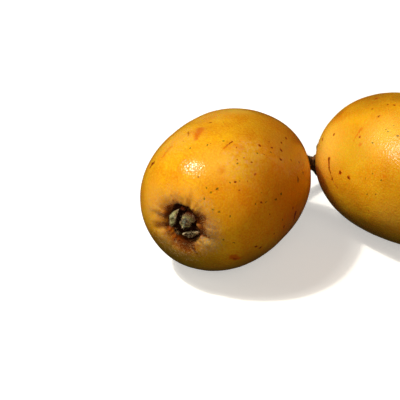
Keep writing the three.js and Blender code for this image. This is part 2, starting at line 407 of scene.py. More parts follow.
class Dots(NamedTuple):
    """Dots scattered over a surface."""

    spacing: float
    radius: float
    share: float  # of the places that have one
    strength: float


class Graph:
    """Short calls that add nodes to one node tree and join them."""

    def __init__(self, tree: bpy.types.NodeTree) -> None:
        """Works on the node tree of a material or a group."""
        self.tree = tree

    def feed(self, socket: Socket, value: object) -> None:
        """Joins another node's output to an input, or sets the input's own value.

        Args:
            socket: the input.
            value: what it takes.
        """
        if isinstance(value, Socket):
            self.tree.links.new(value, socket)
        else:
            socket.default_value = value

    def node(self, kind: str, sockets: dict | None = None, **settings: object) -> bpy.types.Node:
        """Adds a node.

        Args:
            kind: Blender's name for the node's type.
            sockets: input name or number, and the value or the socket that it takes.
            settings: the node's own settings.

        Returns:
            The node.
        """
        node = self.tree.nodes.new(kind)
        for name, value in settings.items():
            setattr(node, name, value)
        for name, value in (sockets or {}).items():
            self.feed(node.inputs[name], value)
        return node

    def math(self, operation: str, *values: Value) -> Socket:
        """One step of arithmetic on numbers."""
        return self.node("ShaderNodeMath", dict(enumerate(values)), operation=operation).outputs[0]

    def times_plus(self, value: Value, factor: Value, more: Value) -> Socket:
        """A value times a factor, plus more."""
        return self.math("MULTIPLY_ADD", value, factor, more)

    def vector(self, operation: str, *values: object) -> bpy.types.Node:
        """One step of arithmetic on vectors. The caller picks Vector or Value."""
        return self.node("ShaderNodeVectorMath", dict(enumerate(values)), operation=operation)

    def ramp(self, value: Value, step: Step) -> Socket:
        """Sends a value through a smooth step."""
        sockets = dict(zip(("From Min", "From Max", "To Min", "To Max"), step), Value=value)
        return self.node("ShaderNodeMapRange", sockets, interpolation_type="SMOOTHSTEP").outputs[0]

    def mix(self, share: Value, under: object, over: object, blend: str = "MIX") -> Socket:
        """Lays one colour over another by a share from 0 to 1."""
        sockets = {0: share, 6: under, 7: over}
        return self.node("ShaderNodeMix", sockets, data_type="RGBA", blend_type=blend).outputs[2]

    def lay(self, colour: Socket, share: Value, code: str) -> Socket:
        """Lays a tint over a colour by a share from 0 to 1."""
        return self.mix(share, colour, tint(code))

    def noise(self, point: Socket, cloud: Cloud, output: int = 0) -> Socket:
        """Noise at a point: its value, or with output 1 its colour."""
        sockets = dict(zip(("Scale", "Detail", "Distortion"), cloud), Vector=point)
        return self.node("ShaderNodeTexNoise", sockets).outputs[output]

    def bump(self, height: Socket, depth: float, strength: float) -> Socket:
        """The normal of a surface with relief, whose height of 1 is depth millimetres deep."""
        sockets = {"Height": height, "Distance": depth * MM, "Strength": strength}
        return self.node("ShaderNodeBump", sockets).outputs[0]

    def place(self) -> Socket:
        """The place on the piece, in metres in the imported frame."""
        return self.node("ShaderNodeTexCoord").outputs["Object"]

    def place_in_mm(self) -> Socket:
        """The place on the piece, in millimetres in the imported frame."""
        sockets = {0: self.place(), "Scale": 1 / MM}
        return self.node("ShaderNodeVectorMath", sockets, operation="SCALE").outputs["Vector"]

    def tones(self) -> Sequence[Socket]:
        """The three values that a piece's mesh holds for its finish."""
        tone = self.node("ShaderNodeAttribute", attribute_name="tone").outputs["Vector"]
        return self.node("ShaderNodeSeparateXYZ", {0: tone}).outputs

    def group(self, effect: type["Effect"], **sockets: object) -> Sequence[Socket]:
        """Places a shared node group. The inputs' names are in small letters."""
        named = {name.capitalize(): value for name, value in sockets.items()}
        return self.node("ShaderNodeGroup", named, node_tree=shared(effect)).outputs

    def flecks(self, point: Socket, dots: Dots) -> Socket:
        """The mask of dots scattered round a point."""
        sizes = {"spacing": dots.spacing, "radius": dots.radius, "share": dots.share}
        return self.group(FleckEffect, point=point, **sizes)[0]


class Effect(Graph):
    """A node group that several finishes share. It puts out masks, values and heights."""

    KINDS = {"vector": "NodeSocketVector", "value": "NodeSocketFloat"}

    def __init__(self, name: str, inputs: dict[str, str], outputs: tuple[str, ...]) -> None:
        """Makes the group and its sockets.

        Args:
            name: the group's name.
            inputs: socket name and kind, vector or value.
            outputs: the names of the values that it puts out.
        """
        super().__init__(bpy.data.node_groups.new(name, "ShaderNodeTree"))
        for title, kind in inputs.items():
            self.tree.interface.new_socket(title, in_out="INPUT", socket_type=self.KINDS[kind])
        for title in outputs:
            self.tree.interface.new_socket(title, in_out="OUTPUT", socket_type=self.KINDS["value"])
        self.given = self.tree.nodes.new("NodeGroupInput").outputs
        self.made = self.tree.nodes.new("NodeGroupOutput").inputs

    def put(self, title: str, value: Socket) -> None:
        """Joins a socket to one of the group's outputs."""
        self.tree.links.new(value, self.made[title])

    def put_mark(self, away: Socket, width: Socket) -> None:
        """Puts out a soft-edged mark over the marks under it.

        Args:
            away: how far a place is from the mark's middle.
            width: half the mark's width.
        """
        fade = self.math("MULTIPLY", width, self.given["Softness"])
        outer, inner = self.math("ADD", width, fade), self.math("SUBTRACT", width, fade)
        mark = self.math("MULTIPLY", self.ramp(away, Step(outer, inner)), self.given["Strength"])
        self.put("Mask", self.math("MAXIMUM", mark, self.given["Under"]))


class GrainEffect(Effect):
    """Close, cell-like mottling and its relief."""

    DETAIL = 1.5
    CELL_SMOOTHNESS = 0.6
    CELL_WEIGHT = -0.8  # of the cells against the finer noise
    CELLS = Step(-0.25, 0.55)
    NOISE_HEIGHT = 0.5

    def __init__(self) -> None:
        """Builds the group."""
        super().__init__("fine grain", {"Point": "vector", "Size": "value"}, ("Cells", "Height"))
        point = self.given["Point"]
        scale = self.math("DIVIDE", 1.0, self.given["Size"])
        close = self.noise(point, Cloud(scale, self.DETAIL))
        cells = self.node(
            "ShaderNodeTexVoronoi",
            {"Vector": point, "Scale": scale, "Smoothness": self.CELL_SMOOTHNESS},
            feature="SMOOTH_F1",
        ).outputs["Distance"]
        self.put("Cells", self.ramp(self.times_plus(cells, self.CELL_WEIGHT, close), self.CELLS))
        self.put("Height", self.times_plus(close, self.NOISE_HEIGHT, cells))


class FleckEffect(Effect):
    """Small round dots, scattered at random, of which only a share of the places has one."""

    SIZES = (0.7, 0.55)  # spread, and least, as shares of the radius
    CORE = 0.45  # share of a dot's radius that is at full strength
    STRENGTHS = (0.6, 0.4)  # spread, and least

    def __init__(self) -> None:
        """Builds the group."""
        names = ("Point", "Spacing", "Radius", "Share")
        super().__init__("flecks", dict.fromkeys(names, "value") | {"Point": "vector"}, ("Mask",))
        given = self.given
        scale = self.math("DIVIDE", 1.0, given["Spacing"])
        cells = self.node("ShaderNodeTexVoronoi", {"Vector": given["Point"], "Scale": scale}).outputs
        lots = self.node("ShaderNodeSeparateColor", {"Color": cells["Color"]}).outputs
        away = self.math("MULTIPLY", cells["Distance"], given["Spacing"])
        radius = self.math("MULTIPLY", given["Radius"], self.times_plus(lots[1], *self.SIZES))
        dot = self.ramp(away, Step(radius, self.math("MULTIPLY", radius, self.CORE)))
        chosen = self.math("LESS_THAN", lots[0], given["Share"])
        depth = self.times_plus(lots[2], *self.STRENGTHS)
        self.put("Mask", self.math("MULTIPLY", self.math("MULTIPLY", dot, chosen), depth))


class SpotEffect(Effect):
    """One round, soft-edged mark, added to the marks under it."""

    def __init__(self) -> None:
        """Builds the group."""
        places = dict.fromkeys(("Point", "Centre"), "vector")
        values = dict.fromkeys(("Radius", "Softness", "Strength", "Under"), "value")
        super().__init__("soft spot", places | values, ("Mask",))
        given = self.given
        away = self.vector("DISTANCE", given["Point"], given["Centre"]).outputs["Value"]
        self.put_mark(away, given["Radius"])


class StreakEffect(Effect):
    """One soft-edged mark along a line that tapers to its end, added to the marks under it."""

    TAPER = -0.5  # how the width changes from the start to the end

    def __init__(self) -> None:
        """Builds the group."""
        places = dict.fromkeys(("Point", "Start", "End"), "vector")
        values = dict.fromkeys(("Radius", "Softness", "Strength", "Under"), "value")
        super().__init__("soft streak", places | values, ("Mask",))
        given = self.given
        line = self.vector("SUBTRACT", given["End"], given["Start"]).outputs["Vector"]
        reach = self.vector("SUBTRACT", given["Point"], given["Start"]).outputs["Vector"]
        along = self.vector("DOT_PRODUCT", reach, line).outputs["Value"]
        square = self.vector("DOT_PRODUCT", line, line).outputs["Value"]
        parts = {0: along, 1: square}
        share = self.node("ShaderNodeMath", parts, operation="DIVIDE", use_clamp=True).outputs[0]
        scaled = {0: line, "Scale": share}
        foot = self.node("ShaderNodeVectorMath", scaled, operation="SCALE").outputs["Vector"]
        away = self.vector("DISTANCE", reach, foot).outputs["Value"]
        width = self.math("MULTIPLY", given["Radius"], self.times_plus(share, self.TAPER, 1.0))
        self.put_mark(away, width)


@cache
def shared(effect: type[Effect]) -> bpy.types.NodeTree:
    """Builds an effect's group once, and gives that group each time."""
    return effect().tree


class Paint(Graph):
    """A material's nodes, with its Principled BSDF."""

    def __init__(self, name: str) -> None:
        """Starts the material.

        Args:
            name: its name.
        """
        self.material = bpy.data.materials.new(name)
        self.material.use_nodes = True
        super().__init__(self.material.node_tree)

    def finish(self, **sockets: object) -> Material:
        """Sets or joins the shader's sockets, and gives the material.

        Args:
            sockets: the shader's inputs, with underscores for spaces.

        Returns:
            The material.
        """
        shader = self.tree.nodes["Principled BSDF"]
        for name, value in sockets.items():
            self.feed(shader.inputs[name.replace("_", " ")], value)
        return self.material


# ---- view, floor and light ----


@dataclass(frozen=True)
class View:
    """The camera, which holds the left fruit's centre at one pixel of a square frame."""

    elevation: float = 30.0  # degrees
    distance: float = 450.0  # to the left fruit's centre, along the camera's line
    focal: float = 1858.6  # pixels
    frame: float = 400.0  # pixels across
    sensor: float = 36.0
    nearest: float = 0.01  # metres
    centre_pixel: tuple[float, float] = (225.37, 189.24)

    def axes(self) -> Array:
        """Right, up and forward, as the camera sees them, as rows."""
        rise, flat = math.sin(math.radians(self.elevation)), math.cos(math.radians(self.elevation))
        return np.array([(1.0, 0.0, 0.0), (0.0, rise, flat), (0.0, flat, -rise)])

    def place(self, centre: Array) -> Array:
        """Where the camera stands.

        Args:
            centre: of the left fruit.

        Returns:
            The camera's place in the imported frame.
        """
        right, up, forward = self.axes()
        aside = (self.centre_pixel[0] - self.frame / 2) * self.distance / self.focal
        above = (self.frame / 2 - self.centre_pixel[1]) * self.distance / self.focal
        return centre - right * aside - up * above - forward * self.distance

    def ray(self, pixel: tuple[float, float]) -> Array:
        """The direction in which the camera sees a pixel of the frame.

        Args:
            pixel: from the frame's upper left corner, to the right and down.

        Returns:
            A vector of length 1.
        """
        right, up, forward = self.axes()
        aside = (pixel[0] - self.frame / 2) / self.focal
        above = (self.frame / 2 - pixel[1]) / self.focal
        line = forward + right * aside + up * above
        return line / np.linalg.norm(line)

    def build(self, centre: Array) -> None:
        """Makes the camera and gives it to the scene.

        Args:
            centre: of the left fruit.
        """
        camera = bpy.data.cameras.new("camera")
        camera.sensor_width = self.sensor
        camera.lens = self.focal * self.sensor / self.frame
        camera.clip_start = self.nearest
        stand = add_object("camera", camera)
        stand.location = Vector(self.place(centre) * MM)
        stand.rotation_euler = (math.radians(90 - self.elevation), 0, 0)
        bpy.context.scene.camera = stand


@dataclass(frozen=True)
class Lamp:
    """A round studio lamp that points at the cluster."""

    name: str
    heading: float  # from +Y towards +X, in degrees
    height: float  # above the floor, in degrees
    size: float
    power: float  # watts
    colour: str
    glossy: bool = True  # whether the skin shows its reflection
    distance: float = 900.0

    def build(self, centre: Array) -> None:
        """Makes the lamp.

        Args:
            centre: what it points at.
        """
        lamp = bpy.data.lights.new(self.name, "AREA")
        lamp.shape = "DISK"
        lamp.size = self.size * MM
        lamp.energy = self.power
        lamp.color = tint(self.colour)[:3]
        stand = add_object(self.name, lamp)
        heading, height = math.radians(self.heading), math.radians(self.height)
        flat = math.cos(height)
        towards = Vector((math.sin(heading) * flat, math.cos(heading) * flat, math.sin(height)))
        stand.location = Vector(centre * MM) + towards * self.distance * MM
        stand.rotation_euler = towards.to_track_quat("Z", "Y").to_euler()
        stand.visible_glossy = self.glossy


@dataclass(frozen=True)
class Studio:
    """A plain pale floor under a key lamp from the upper left, broad lamps and a weak sky."""

    lamps: tuple[Lamp, ...] = (
        Lamp("key", -97, 60, 42, 3.9, "fffaf0"),
        Lamp("soft key", -97, 60, 260, 3.9, "fffaf0", glossy=False),
        Lamp("front", 172, 28, 760, 3.1, "fff4e4", glossy=False),
        Lamp("side", -97, 32, 400, 0.95, "fff4e4", glossy=False),
    )
    floor_half: float = 3000.0
    floor_drop: float = 0.02  # below the cluster
    floor_tint: str = "f4f3f0"
    floor_shade: float = 0.97  # of the tint, where the paint is darkest
    floor_cloud: Cloud = Cloud(6.0, 3.0)
    floor_roughness: float = 0.9
    floor_glow: float = 0.5  # keeps the floor's shadows open
    sky_tint: str = "ffe2bc"
    sky_strength: float = 0.022

    def build(self, centre: Array) -> None:
        """Makes the floor, the lamps and the world.

        Args:
            centre: what the lamps point at.
        """
        self._floor()
        for lamp in self.lamps:
            lamp.build(centre)
        world = bpy.data.worlds.new("sky")
        world.use_nodes = True
        sky = world.node_tree.nodes["Background"]
        sky.inputs["Color"].default_value = tint(self.sky_tint)
        sky.inputs["Strength"].default_value = self.sky_strength
        bpy.context.scene.world = world
        bpy.context.scene.view_settings.view_transform = "Standard"

    def _floor(self) -> None:
        """A flat sheet just under the cluster, in a matte paint that is very slightly uneven."""
        ways = ((-1, -1), (1, -1), (1, 1), (-1, 1))
        corners = [(x * self.floor_half, y * self.floor_half, -self.floor_drop) for x, y in ways]
        sheet = Solid()
        sheet.add(np.array(corners), [(0, 1, 2, 3)])
        floor = sheet.to_object("floor")
        paint = Paint("pale paint")
        light = tint(self.floor_tint)
        dark = tuple(c * self.floor_shade for c in light[:3]) + (1.0,)
        colour = paint.mix(paint.noise(paint.place(), self.floor_cloud), dark, light)
        floor.data.materials.append(
            paint.finish(
                Base_Color=colour,
                Emission_Color=colour,
                Roughness=self.floor_roughness,
                Emission_Strength=self.floor_glow,
            )
        )
        floor.visible_diffuse = False
        floor.visible_glossy = False


# ---- the fruit's form ----


@dataclass(frozen=True)
class Crease:
    """A pucker that runs out from the eye."""

    at: float  # degrees round the eye, from the fruit's left
    wide: float  # degrees
    deep: float


@dataclass(frozen=True)
class FruitForm:
    """The skin of a full-size fruit."""

    waist_radius: float = 18.5
    eye_half: float = 22.5  # widest ring to the eye end
    stem_half: float = 25.0
    eye_bluntness: float = 2.4
    stem_bluntness: float = 2.3
    lobes: tuple[Point, ...] = ((2, 0.0287, 0.456), (3, 0.0111, 4.041))  # waves, swell, turn
    eye_place: tuple[float, float] = (1.25, -0.2)
    eye_reach: float = 14.0  # beyond it the skin has no folds of the eye
    basin_depth: float = 2.4
    basin_radius: float = 8.0
    crease_depth: float = 0.6
    crease_ring: float = 5.2
    crease_reach: float = 10.0
    creases: tuple[Crease, ...] = (
        Crease(3, 9, 0.9), Crease(65, 11, 0.6), Crease(109, 9, 0.4), Crease(154, 8, 0.6),
        Crease(201, 8, 0.8), Crease(250, 9, 1.1), Crease(292, 9, 0.8), Crease(338, 9, 0.9),
    )
    dimple_depth: float = 1.1
    dimple_radius: float = 6.0
    pole_crowding: float = 0.6
    pocket_long: float = 5.0  # half the oval hole that the calyx stands in, the long way
    pocket_short: float = 3.85
    pocket_turn: float = 48.6  # of its long way, in degrees round the eye
    pocket_wave: float = 0.35  # how far its edge wanders
    wave_turns: float = 1.7
    wave_layers: tuple[Layer, ...] = (Layer(1.0, 2.9), Layer(1 / 2.4, 6.3, 0.4))
    pocket_floor: float = 18.4
    pocket_wall: tuple[float, float] = (0.3, 0.6)  # where it starts outside the edge, and its width
    tongues: tuple[Crease, ...] = (Crease(174, 18, 1.4), Crease(33, 20, 0.9))  # of skin, over the calyx
    lip: float = 0.25  # how far the skin swells round the pocket
    lip_ring: tuple[float, float] = (0.7, 1.3)  # its middle outside the pocket's edge, and half its width
    pucker_depth: float = 0.24  # finer folds between the creases
    pucker_fade: tuple[float, float] = (12.0, 7.0)  # where they end, and over what distance
    pucker_shade: float = 0.55  # how much they count as creases for the finish
    shade_fade: tuple[float, float] = (9.0, 4.0)
    pucker_turns: float = 3.4
    pucker_run: float = 0.16  # how fast a fold changes with distance from the eye
    pucker_layers: tuple[Layer, ...] = (Layer(1.0, 5.5), Layer(1 / 2.3, 1.5, 0.5))
    lump_depth: float = 0.12
    lump_layers: tuple[Layer, ...] = (Layer(9.0, 3.7), Layer(3.2, 8.1, 0.4))

    @staticmethod
    def spread(creases: tuple[Crease, ...], angle: Array) -> Array:
        """How deep some creases are at an angle round the eye.

        Args:
            creases: the creases.
            angle: degrees.

        Returns:
            As many depths as angles.
        """
        deep = np.zeros_like(angle)
        for crease in creases:
            off = (angle - crease.at + 540) % 360 - 180
            deep += crease.deep * np.exp(-((off / crease.wide) ** 2))
        return deep

    def oval(self) -> Array:
        """Turns a circle of radius 1 into the pocket's outline.

        Returns:
            A 2 by 2 matrix.
        """
        turn = math.radians(self.pocket_turn)
        ways = np.array([[math.cos(turn), -math.sin(turn)], [math.sin(turn), math.cos(turn)]])
        return ways @ np.diag([self.pocket_long, self.pocket_short]) @ ways.T

    def from_pocket(self, eye: Array) -> Array:
        """How far points lie outside the pocket's edge.

        Args:
            eye: n by 2, from the middle of the eye.

        Returns:
            n distances, below 0 inside the pocket.
        """
        away = np.linalg.norm(eye, axis=1)
        share = np.linalg.norm(eye @ np.linalg.inv(self.oval()), axis=1)
        ways = eye / np.maximum(away, NEVER_ZERO)[:, None]
        wave = roughness_at(np.column_stack([ways * self.wave_turns, 0 * away]), *self.wave_layers)
        angle = np.degrees(np.arctan2(eye[:, 1], eye[:, 0]))
        edge = away * (1 - 1 / np.maximum(share, NEVER_ZERO)) - self.pocket_wave * wave
        return edge + self.spread(self.tongues, angle)

    def bare(self, rings: int, sides: int) -> tuple[Array, Array]:
        """The skin without its fine relief.

        Args:
            rings: steps from the eye to the stem end.
            sides: points in a ring.

        Returns:
            rings - 1 by sides by 3, and how deeply each point is creased.
        """
        share = np.arange(1, rings)[:, None] / rings
        angle = np.linspace(0, 2 * math.pi, sides, endpoint=False)[None, :]
        t = math.pi * share - self.pole_crowding / 2 * np.sin(2 * math.pi * share)
        towards_eye = np.cos(t) > 0
        half = np.where(towards_eye, -self.eye_half, self.stem_half)
        bluntness = np.where(towards_eye, self.eye_bluntness, self.stem_bluntness)
        swell = 1 + sum(s * np.cos(waves * angle + turn) for waves, s, turn in self.lobes)
        r = self.waist_radius * np.abs(np.sin(t)) ** (2 / bluntness) * swell
        z = half * np.abs(np.cos(t)) ** (2 / bluntness) + 0 * angle
        x, y = r * np.cos(angle), r * np.sin(angle)
        eye_x, eye_y = x - self.eye_place[0], y - self.eye_place[1]
        from_eye = np.hypot(eye_x, eye_y)
        from_ring = (from_eye - self.crease_ring) / (self.crease_reach - self.crease_ring)
        crease = bell(from_ring) * self.spread(self.creases, np.degrees(np.arctan2(eye_y, eye_x)))
        basin = self.basin_depth * bell(from_eye / self.basin_radius) + self.crease_depth * crease
        z = z + np.where(towards_eye, basin, -self.dimple_depth * bell(r / self.dimple_radius))
        return np.stack([x, y, z], -1), np.where(towards_eye, crease, 0.0)

    def skin(self, rings: int, sides: int) -> tuple[Array, Array]:
        """The skin with its puckers, lumps and the pocket that the calyx stands in.

        Args:
            rings: steps from the eye to the stem end.
            sides: points in a ring.

        Returns:
            rings - 1 by sides by 3 points, and as many tones: how deeply a point is creased, and how
            far it lies from the pocket's edge.
        """
        points, crease = self.bare(rings, sides)
        flat = points.reshape(-1, 3)
        eye = flat[:, :2] - np.array(self.eye_place)
        from_eye = np.linalg.norm(eye, axis=1)
        near = (flat[:, 2] < 0) & (from_eye < self.eye_reach)
        outwards = flat / np.linalg.norm(flat, axis=1)[:, None]
        lumps = roughness_at(flat, *self.lump_layers) * self.lump_depth
        flat = flat + outwards * lumps[:, None]
        fan = np.zeros(len(flat))
        ways = eye[near] / from_eye[near, None]
        spokes = np.column_stack([ways * self.pucker_turns, from_eye[near] * self.pucker_run])
        fan[near] = roughness_at(spokes, *self.pucker_layers)
        end, fade = self.pucker_fade
        folds = fan * ease((end - from_eye) / fade) * near
        flat[:, 2] += self.pucker_depth * folds
        far_off = 20.0  # any distance at which the pocket has no effect
        edge = np.full(len(flat), far_off)
        edge[near] = self.from_pocket(eye[near])
        middle, half = self.lip_ring
        flat[:, 2] -= self.lip * bell((edge - middle) / half) * (0.5 - fan) * near
        start, width = self.pocket_wall
        flat[:, 2] += (-self.pocket_floor - flat[:, 2]) * ease((start - edge) / width)
        end, fade = self.shade_fade
        deep = crease.ravel() + self.pucker_shade * np.maximum(folds, 0) * ease((end - from_eye) / fade)
        tones = np.column_stack([deep, edge, 0 * deep])
        return flat.reshape(points.shape), tones.reshape(points.shape)


# ---- the skin's finish ----


class Tone(Enum):
    """What a mark on the skin looks like: a blemish, or painted light or shade."""

    GREEN = "dark green dot"
    RUST = "red-brown spot"
    AMBER = "deep orange cheek"
    BLUSH = "orange-red patch"
    PALE = "pale, net-like patch"
    # straw-yellow patches: some are the skin's own, some are painted highlight and painted light on the
    # lit side
    STRAW_AND_HIGHLIGHT = "straw-yellow patch"
    UNRIPE = "greenish yellow patch"
    DOWN = "pinkish down"
    # dark red-brown puckers: scorched skin, and painted shade under the lower sepal and beside the eye's
    # hole
    SCORCH_AND_SHADE = "dark red-brown pucker"
    BURNT = "orange-brown skin beside the eye"
    # painted light on the upper wall of the eye's basin and on the left fruit's left side
    GLOW = "bright, warm skin"
    OLIVE = "olive-green skin beside the eye"
    KHAKI = "dull, downy skin"
    # a brownish cast: the skin's own, and painted shade on the left fruit's right side
    UMBER_AND_SHADE = "brownish cast"


@dataclass(frozen=True)
class Mark:
    """A blemish, or a patch of painted light or shade, placed by where the view's 400 by 400 pixels show
    it.
    """

    pixel: tuple[float, float]
    radius: float
    strength: float = 1.0
    softness: float = 0.6
    to: tuple[float, float] | None = None  # the pixel of a streak's far end


Marks = dict[Tone, tuple[Mark, ...]]


@dataclass(frozen=True)
class PlacedMark:
    """A blemish, or a patch of painted light or shade, at its place in a fruit's own frame."""

    mark: Mark
    start: Vector
    end: Vector


PlacedMarks = dict[Tone, list[PlacedMark]]


@dataclass(frozen=True)
class SkinFinish:
    """Ripe loquat skin: golden orange, downy round the eye, with flecks and blemishes, and with painted
    light, highlight and shade in its colour.
    """

    # tints
    orange: str = "e69004"
    gold: str = "fcc018"
    # deeper orange; on the fruit's right side, away from the key lamp, partly painted shade
    amber: str = "e06402"
    # laid on the underside as painted shade
    olive: str = "a8860a"
    moss: str = "7c6408"
    unripe: str = "d4b428"
    straw: str = "fec648"
    pink: str = "f0b080"
    down: str = "e4bc7c"
    # painted light, laid by its marks
    painted_light_tint: str = "ffb432"
    khaki: str = "b0906a"
    burnt: str = "a85206"
    # dark red-brown of scorched puckers, also painted shade in the creases and round the pocket's edge
    scorch_and_shade: str = "4a1e04"
    # painted shade down the pocket's wall, over the dried skin's dark brown
    pocket_wall_shade: str = "4c1c09"
    rust: str = "822a0a"
    green: str = "46440f"
    blush: str = "dc6a02"
    # partly painted shade, on the left fruit's right side
    umber: str = "a4660c"
    # the shader's own values
    roughness: float = 0.17
    gloss: float = 0.33
    relief: float = 0.62
    relief_depth: float = 0.08
    flesh: float = 0.3  # share of the light that goes through the skin
    flesh_tint: Point = (1.0, 0.3, 0.05)
    flesh_depth: float = 3.5
    # the ground colour
    grain: float = 0.45  # the close mottle's size
    mottle: float = 0.62  # how strongly the gold stands out from the orange
    mottle_middle: float = 0.45  # share of gold in the middle of the mottle
    drift_cloud: Cloud = Cloud(0.16, 2.5, 0.3)
    drift: Step = Step(0.34, 0.68, -0.2, 0.24)
    blotch_cloud: Cloud = Cloud(0.35, 3.0, 0.4)
    amber_and_shade_share: float = 0.4  # of the fruit's right side, away from the key lamp: riper skin, and painted shade
    amber_and_shade_from: float = -5.0  # where it starts, right of the fruit's middle
    amber_and_shade_full: float = 13.0
    amber_and_shade_wander: float = -6.0
    olive_shade_share: float = 0.65
    olive_shade_from: float = 3.0  # how far below its middle the fruit turns olive and darker, as painted shade
    olive_shade_fade: float = 10.0
    olive_shade_wander: float = -5.0
    # a pale speckle: the skin's own pale dots, and painted sparkle
    speckle_and_sparkle_cloud: Cloud = Cloud(2.6, 1.0)
    speckle_and_sparkle: Step = Step(0.46, 0.7, 0.0, 0.27)
    # pale patches
    net_scale: float = 0.75
    net: Step = Step(0.2, 0.6, 0.0, 0.6)
    rosy_cloud: Cloud = Cloud(1.1, 2.0, 0.8)
    rosy: Step = Step(0.53, 0.68, 0.0, 0.5)
    # the eye, from the pocket's edge outwards
    eye_cloud: Cloud = Cloud(0.45, 3.0, 0.5)
    speckle_cloud: Cloud = Cloud(2.3, 1.5)
    down_wander: float = 7.0
    down_zone: Step = Step(6.6, 3.8, 0.0, 0.5)
    down_speckle: Step = Step(0.44, 0.62, 0.06, 0.9)
    khaki_speckle: Step = Step(0.4, 0.58, 0.3, 1.0)
    ring_wander: float = 2.6
    # darker red-brown in the creases and round the pocket's edge: the creases' own scorch, and painted
    # shade
    crease_dark: Step = Step(0.2, 1.1)
    crease_zone: Step = Step(3.8, 0.8)
    crease_share: float = 0.3
    burnt_ring: Step = Step(2.3, 1.1, 0.0, 0.75)
    burnt_crease: Step = Step(0.05, 0.7)
    scorch_and_shade_ring: Step = Step(1.6, 0.7)
    scorch_and_shade_crease: Step = Step(0.35, 1.0)
    scorch_and_shade_share: float = 0.92
    # painted shade down the pocket's wall
    pocket_wall_shade_edge: Step = Step(0.15, -0.35)
    # flecks and spots
    ragged_cloud: Cloud = Cloud(1.6)
    ragged: float = 0.9  # how far a mark's edge wanders
    green_dots: Dots = Dots(2.9, 0.17, 0.4, 0.7)
    rust_dots: Dots = Dots(5.5, 0.3, 0.42, 0.6)
    rust_halo: Step = Step(0.0, 0.5, 0.0, 0.7)
    rust_heart: Step = Step(0.2, 0.9, 0.0, 0.95)
    shine_cells: float = -0.08  # how the roughness follows the mottle
    shine_offset: float = 0.04
    down_roughness: float = 0.3
    spot_pit: float = -0.8  # a spot's height in the relief

    def build(self, name: str, place: Matrix, marks: PlacedMarks) -> Material:
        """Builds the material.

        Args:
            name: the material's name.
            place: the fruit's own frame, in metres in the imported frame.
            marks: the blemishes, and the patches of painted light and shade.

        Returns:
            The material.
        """
        paint = SkinPaint(name, self, place)
        paint.find_marks(marks)
        right, down = paint.ways(place)
        colour = paint.patches(paint.ground(right, down))
        colour, zone = paint.eye(colour)
        green = paint.scatter(self.green_dots, Tone.GREEN)
        rust = paint.scatter(self.rust_dots, Tone.RUST)
        colour = paint.lay(colour, paint.ramp(rust, self.rust_halo), self.blush)
        colour = paint.lay(colour, paint.ramp(rust, self.rust_heart), self.rust)
        colour = paint.lay(colour, green, self.green)
        cells, height = paint.grain["Cells"], paint.grain["Height"]
        rough = paint.times_plus(cells, self.shine_cells, self.roughness + self.shine_offset)
        height = paint.times_plus(paint.math("MAXIMUM", rust, green), self.spot_pit, height)
        return paint.finish(
            Base_Color=colour,
            Roughness=paint.times_plus(zone, self.down_roughness, rough),
            Normal=paint.bump(height, self.relief_depth, self.relief),
            Specular_IOR_Level=self.gloss,
            Subsurface_Weight=self.flesh,
            Subsurface_Radius=self.flesh_tint,
            Subsurface_Scale=self.flesh_depth * MM,
        )


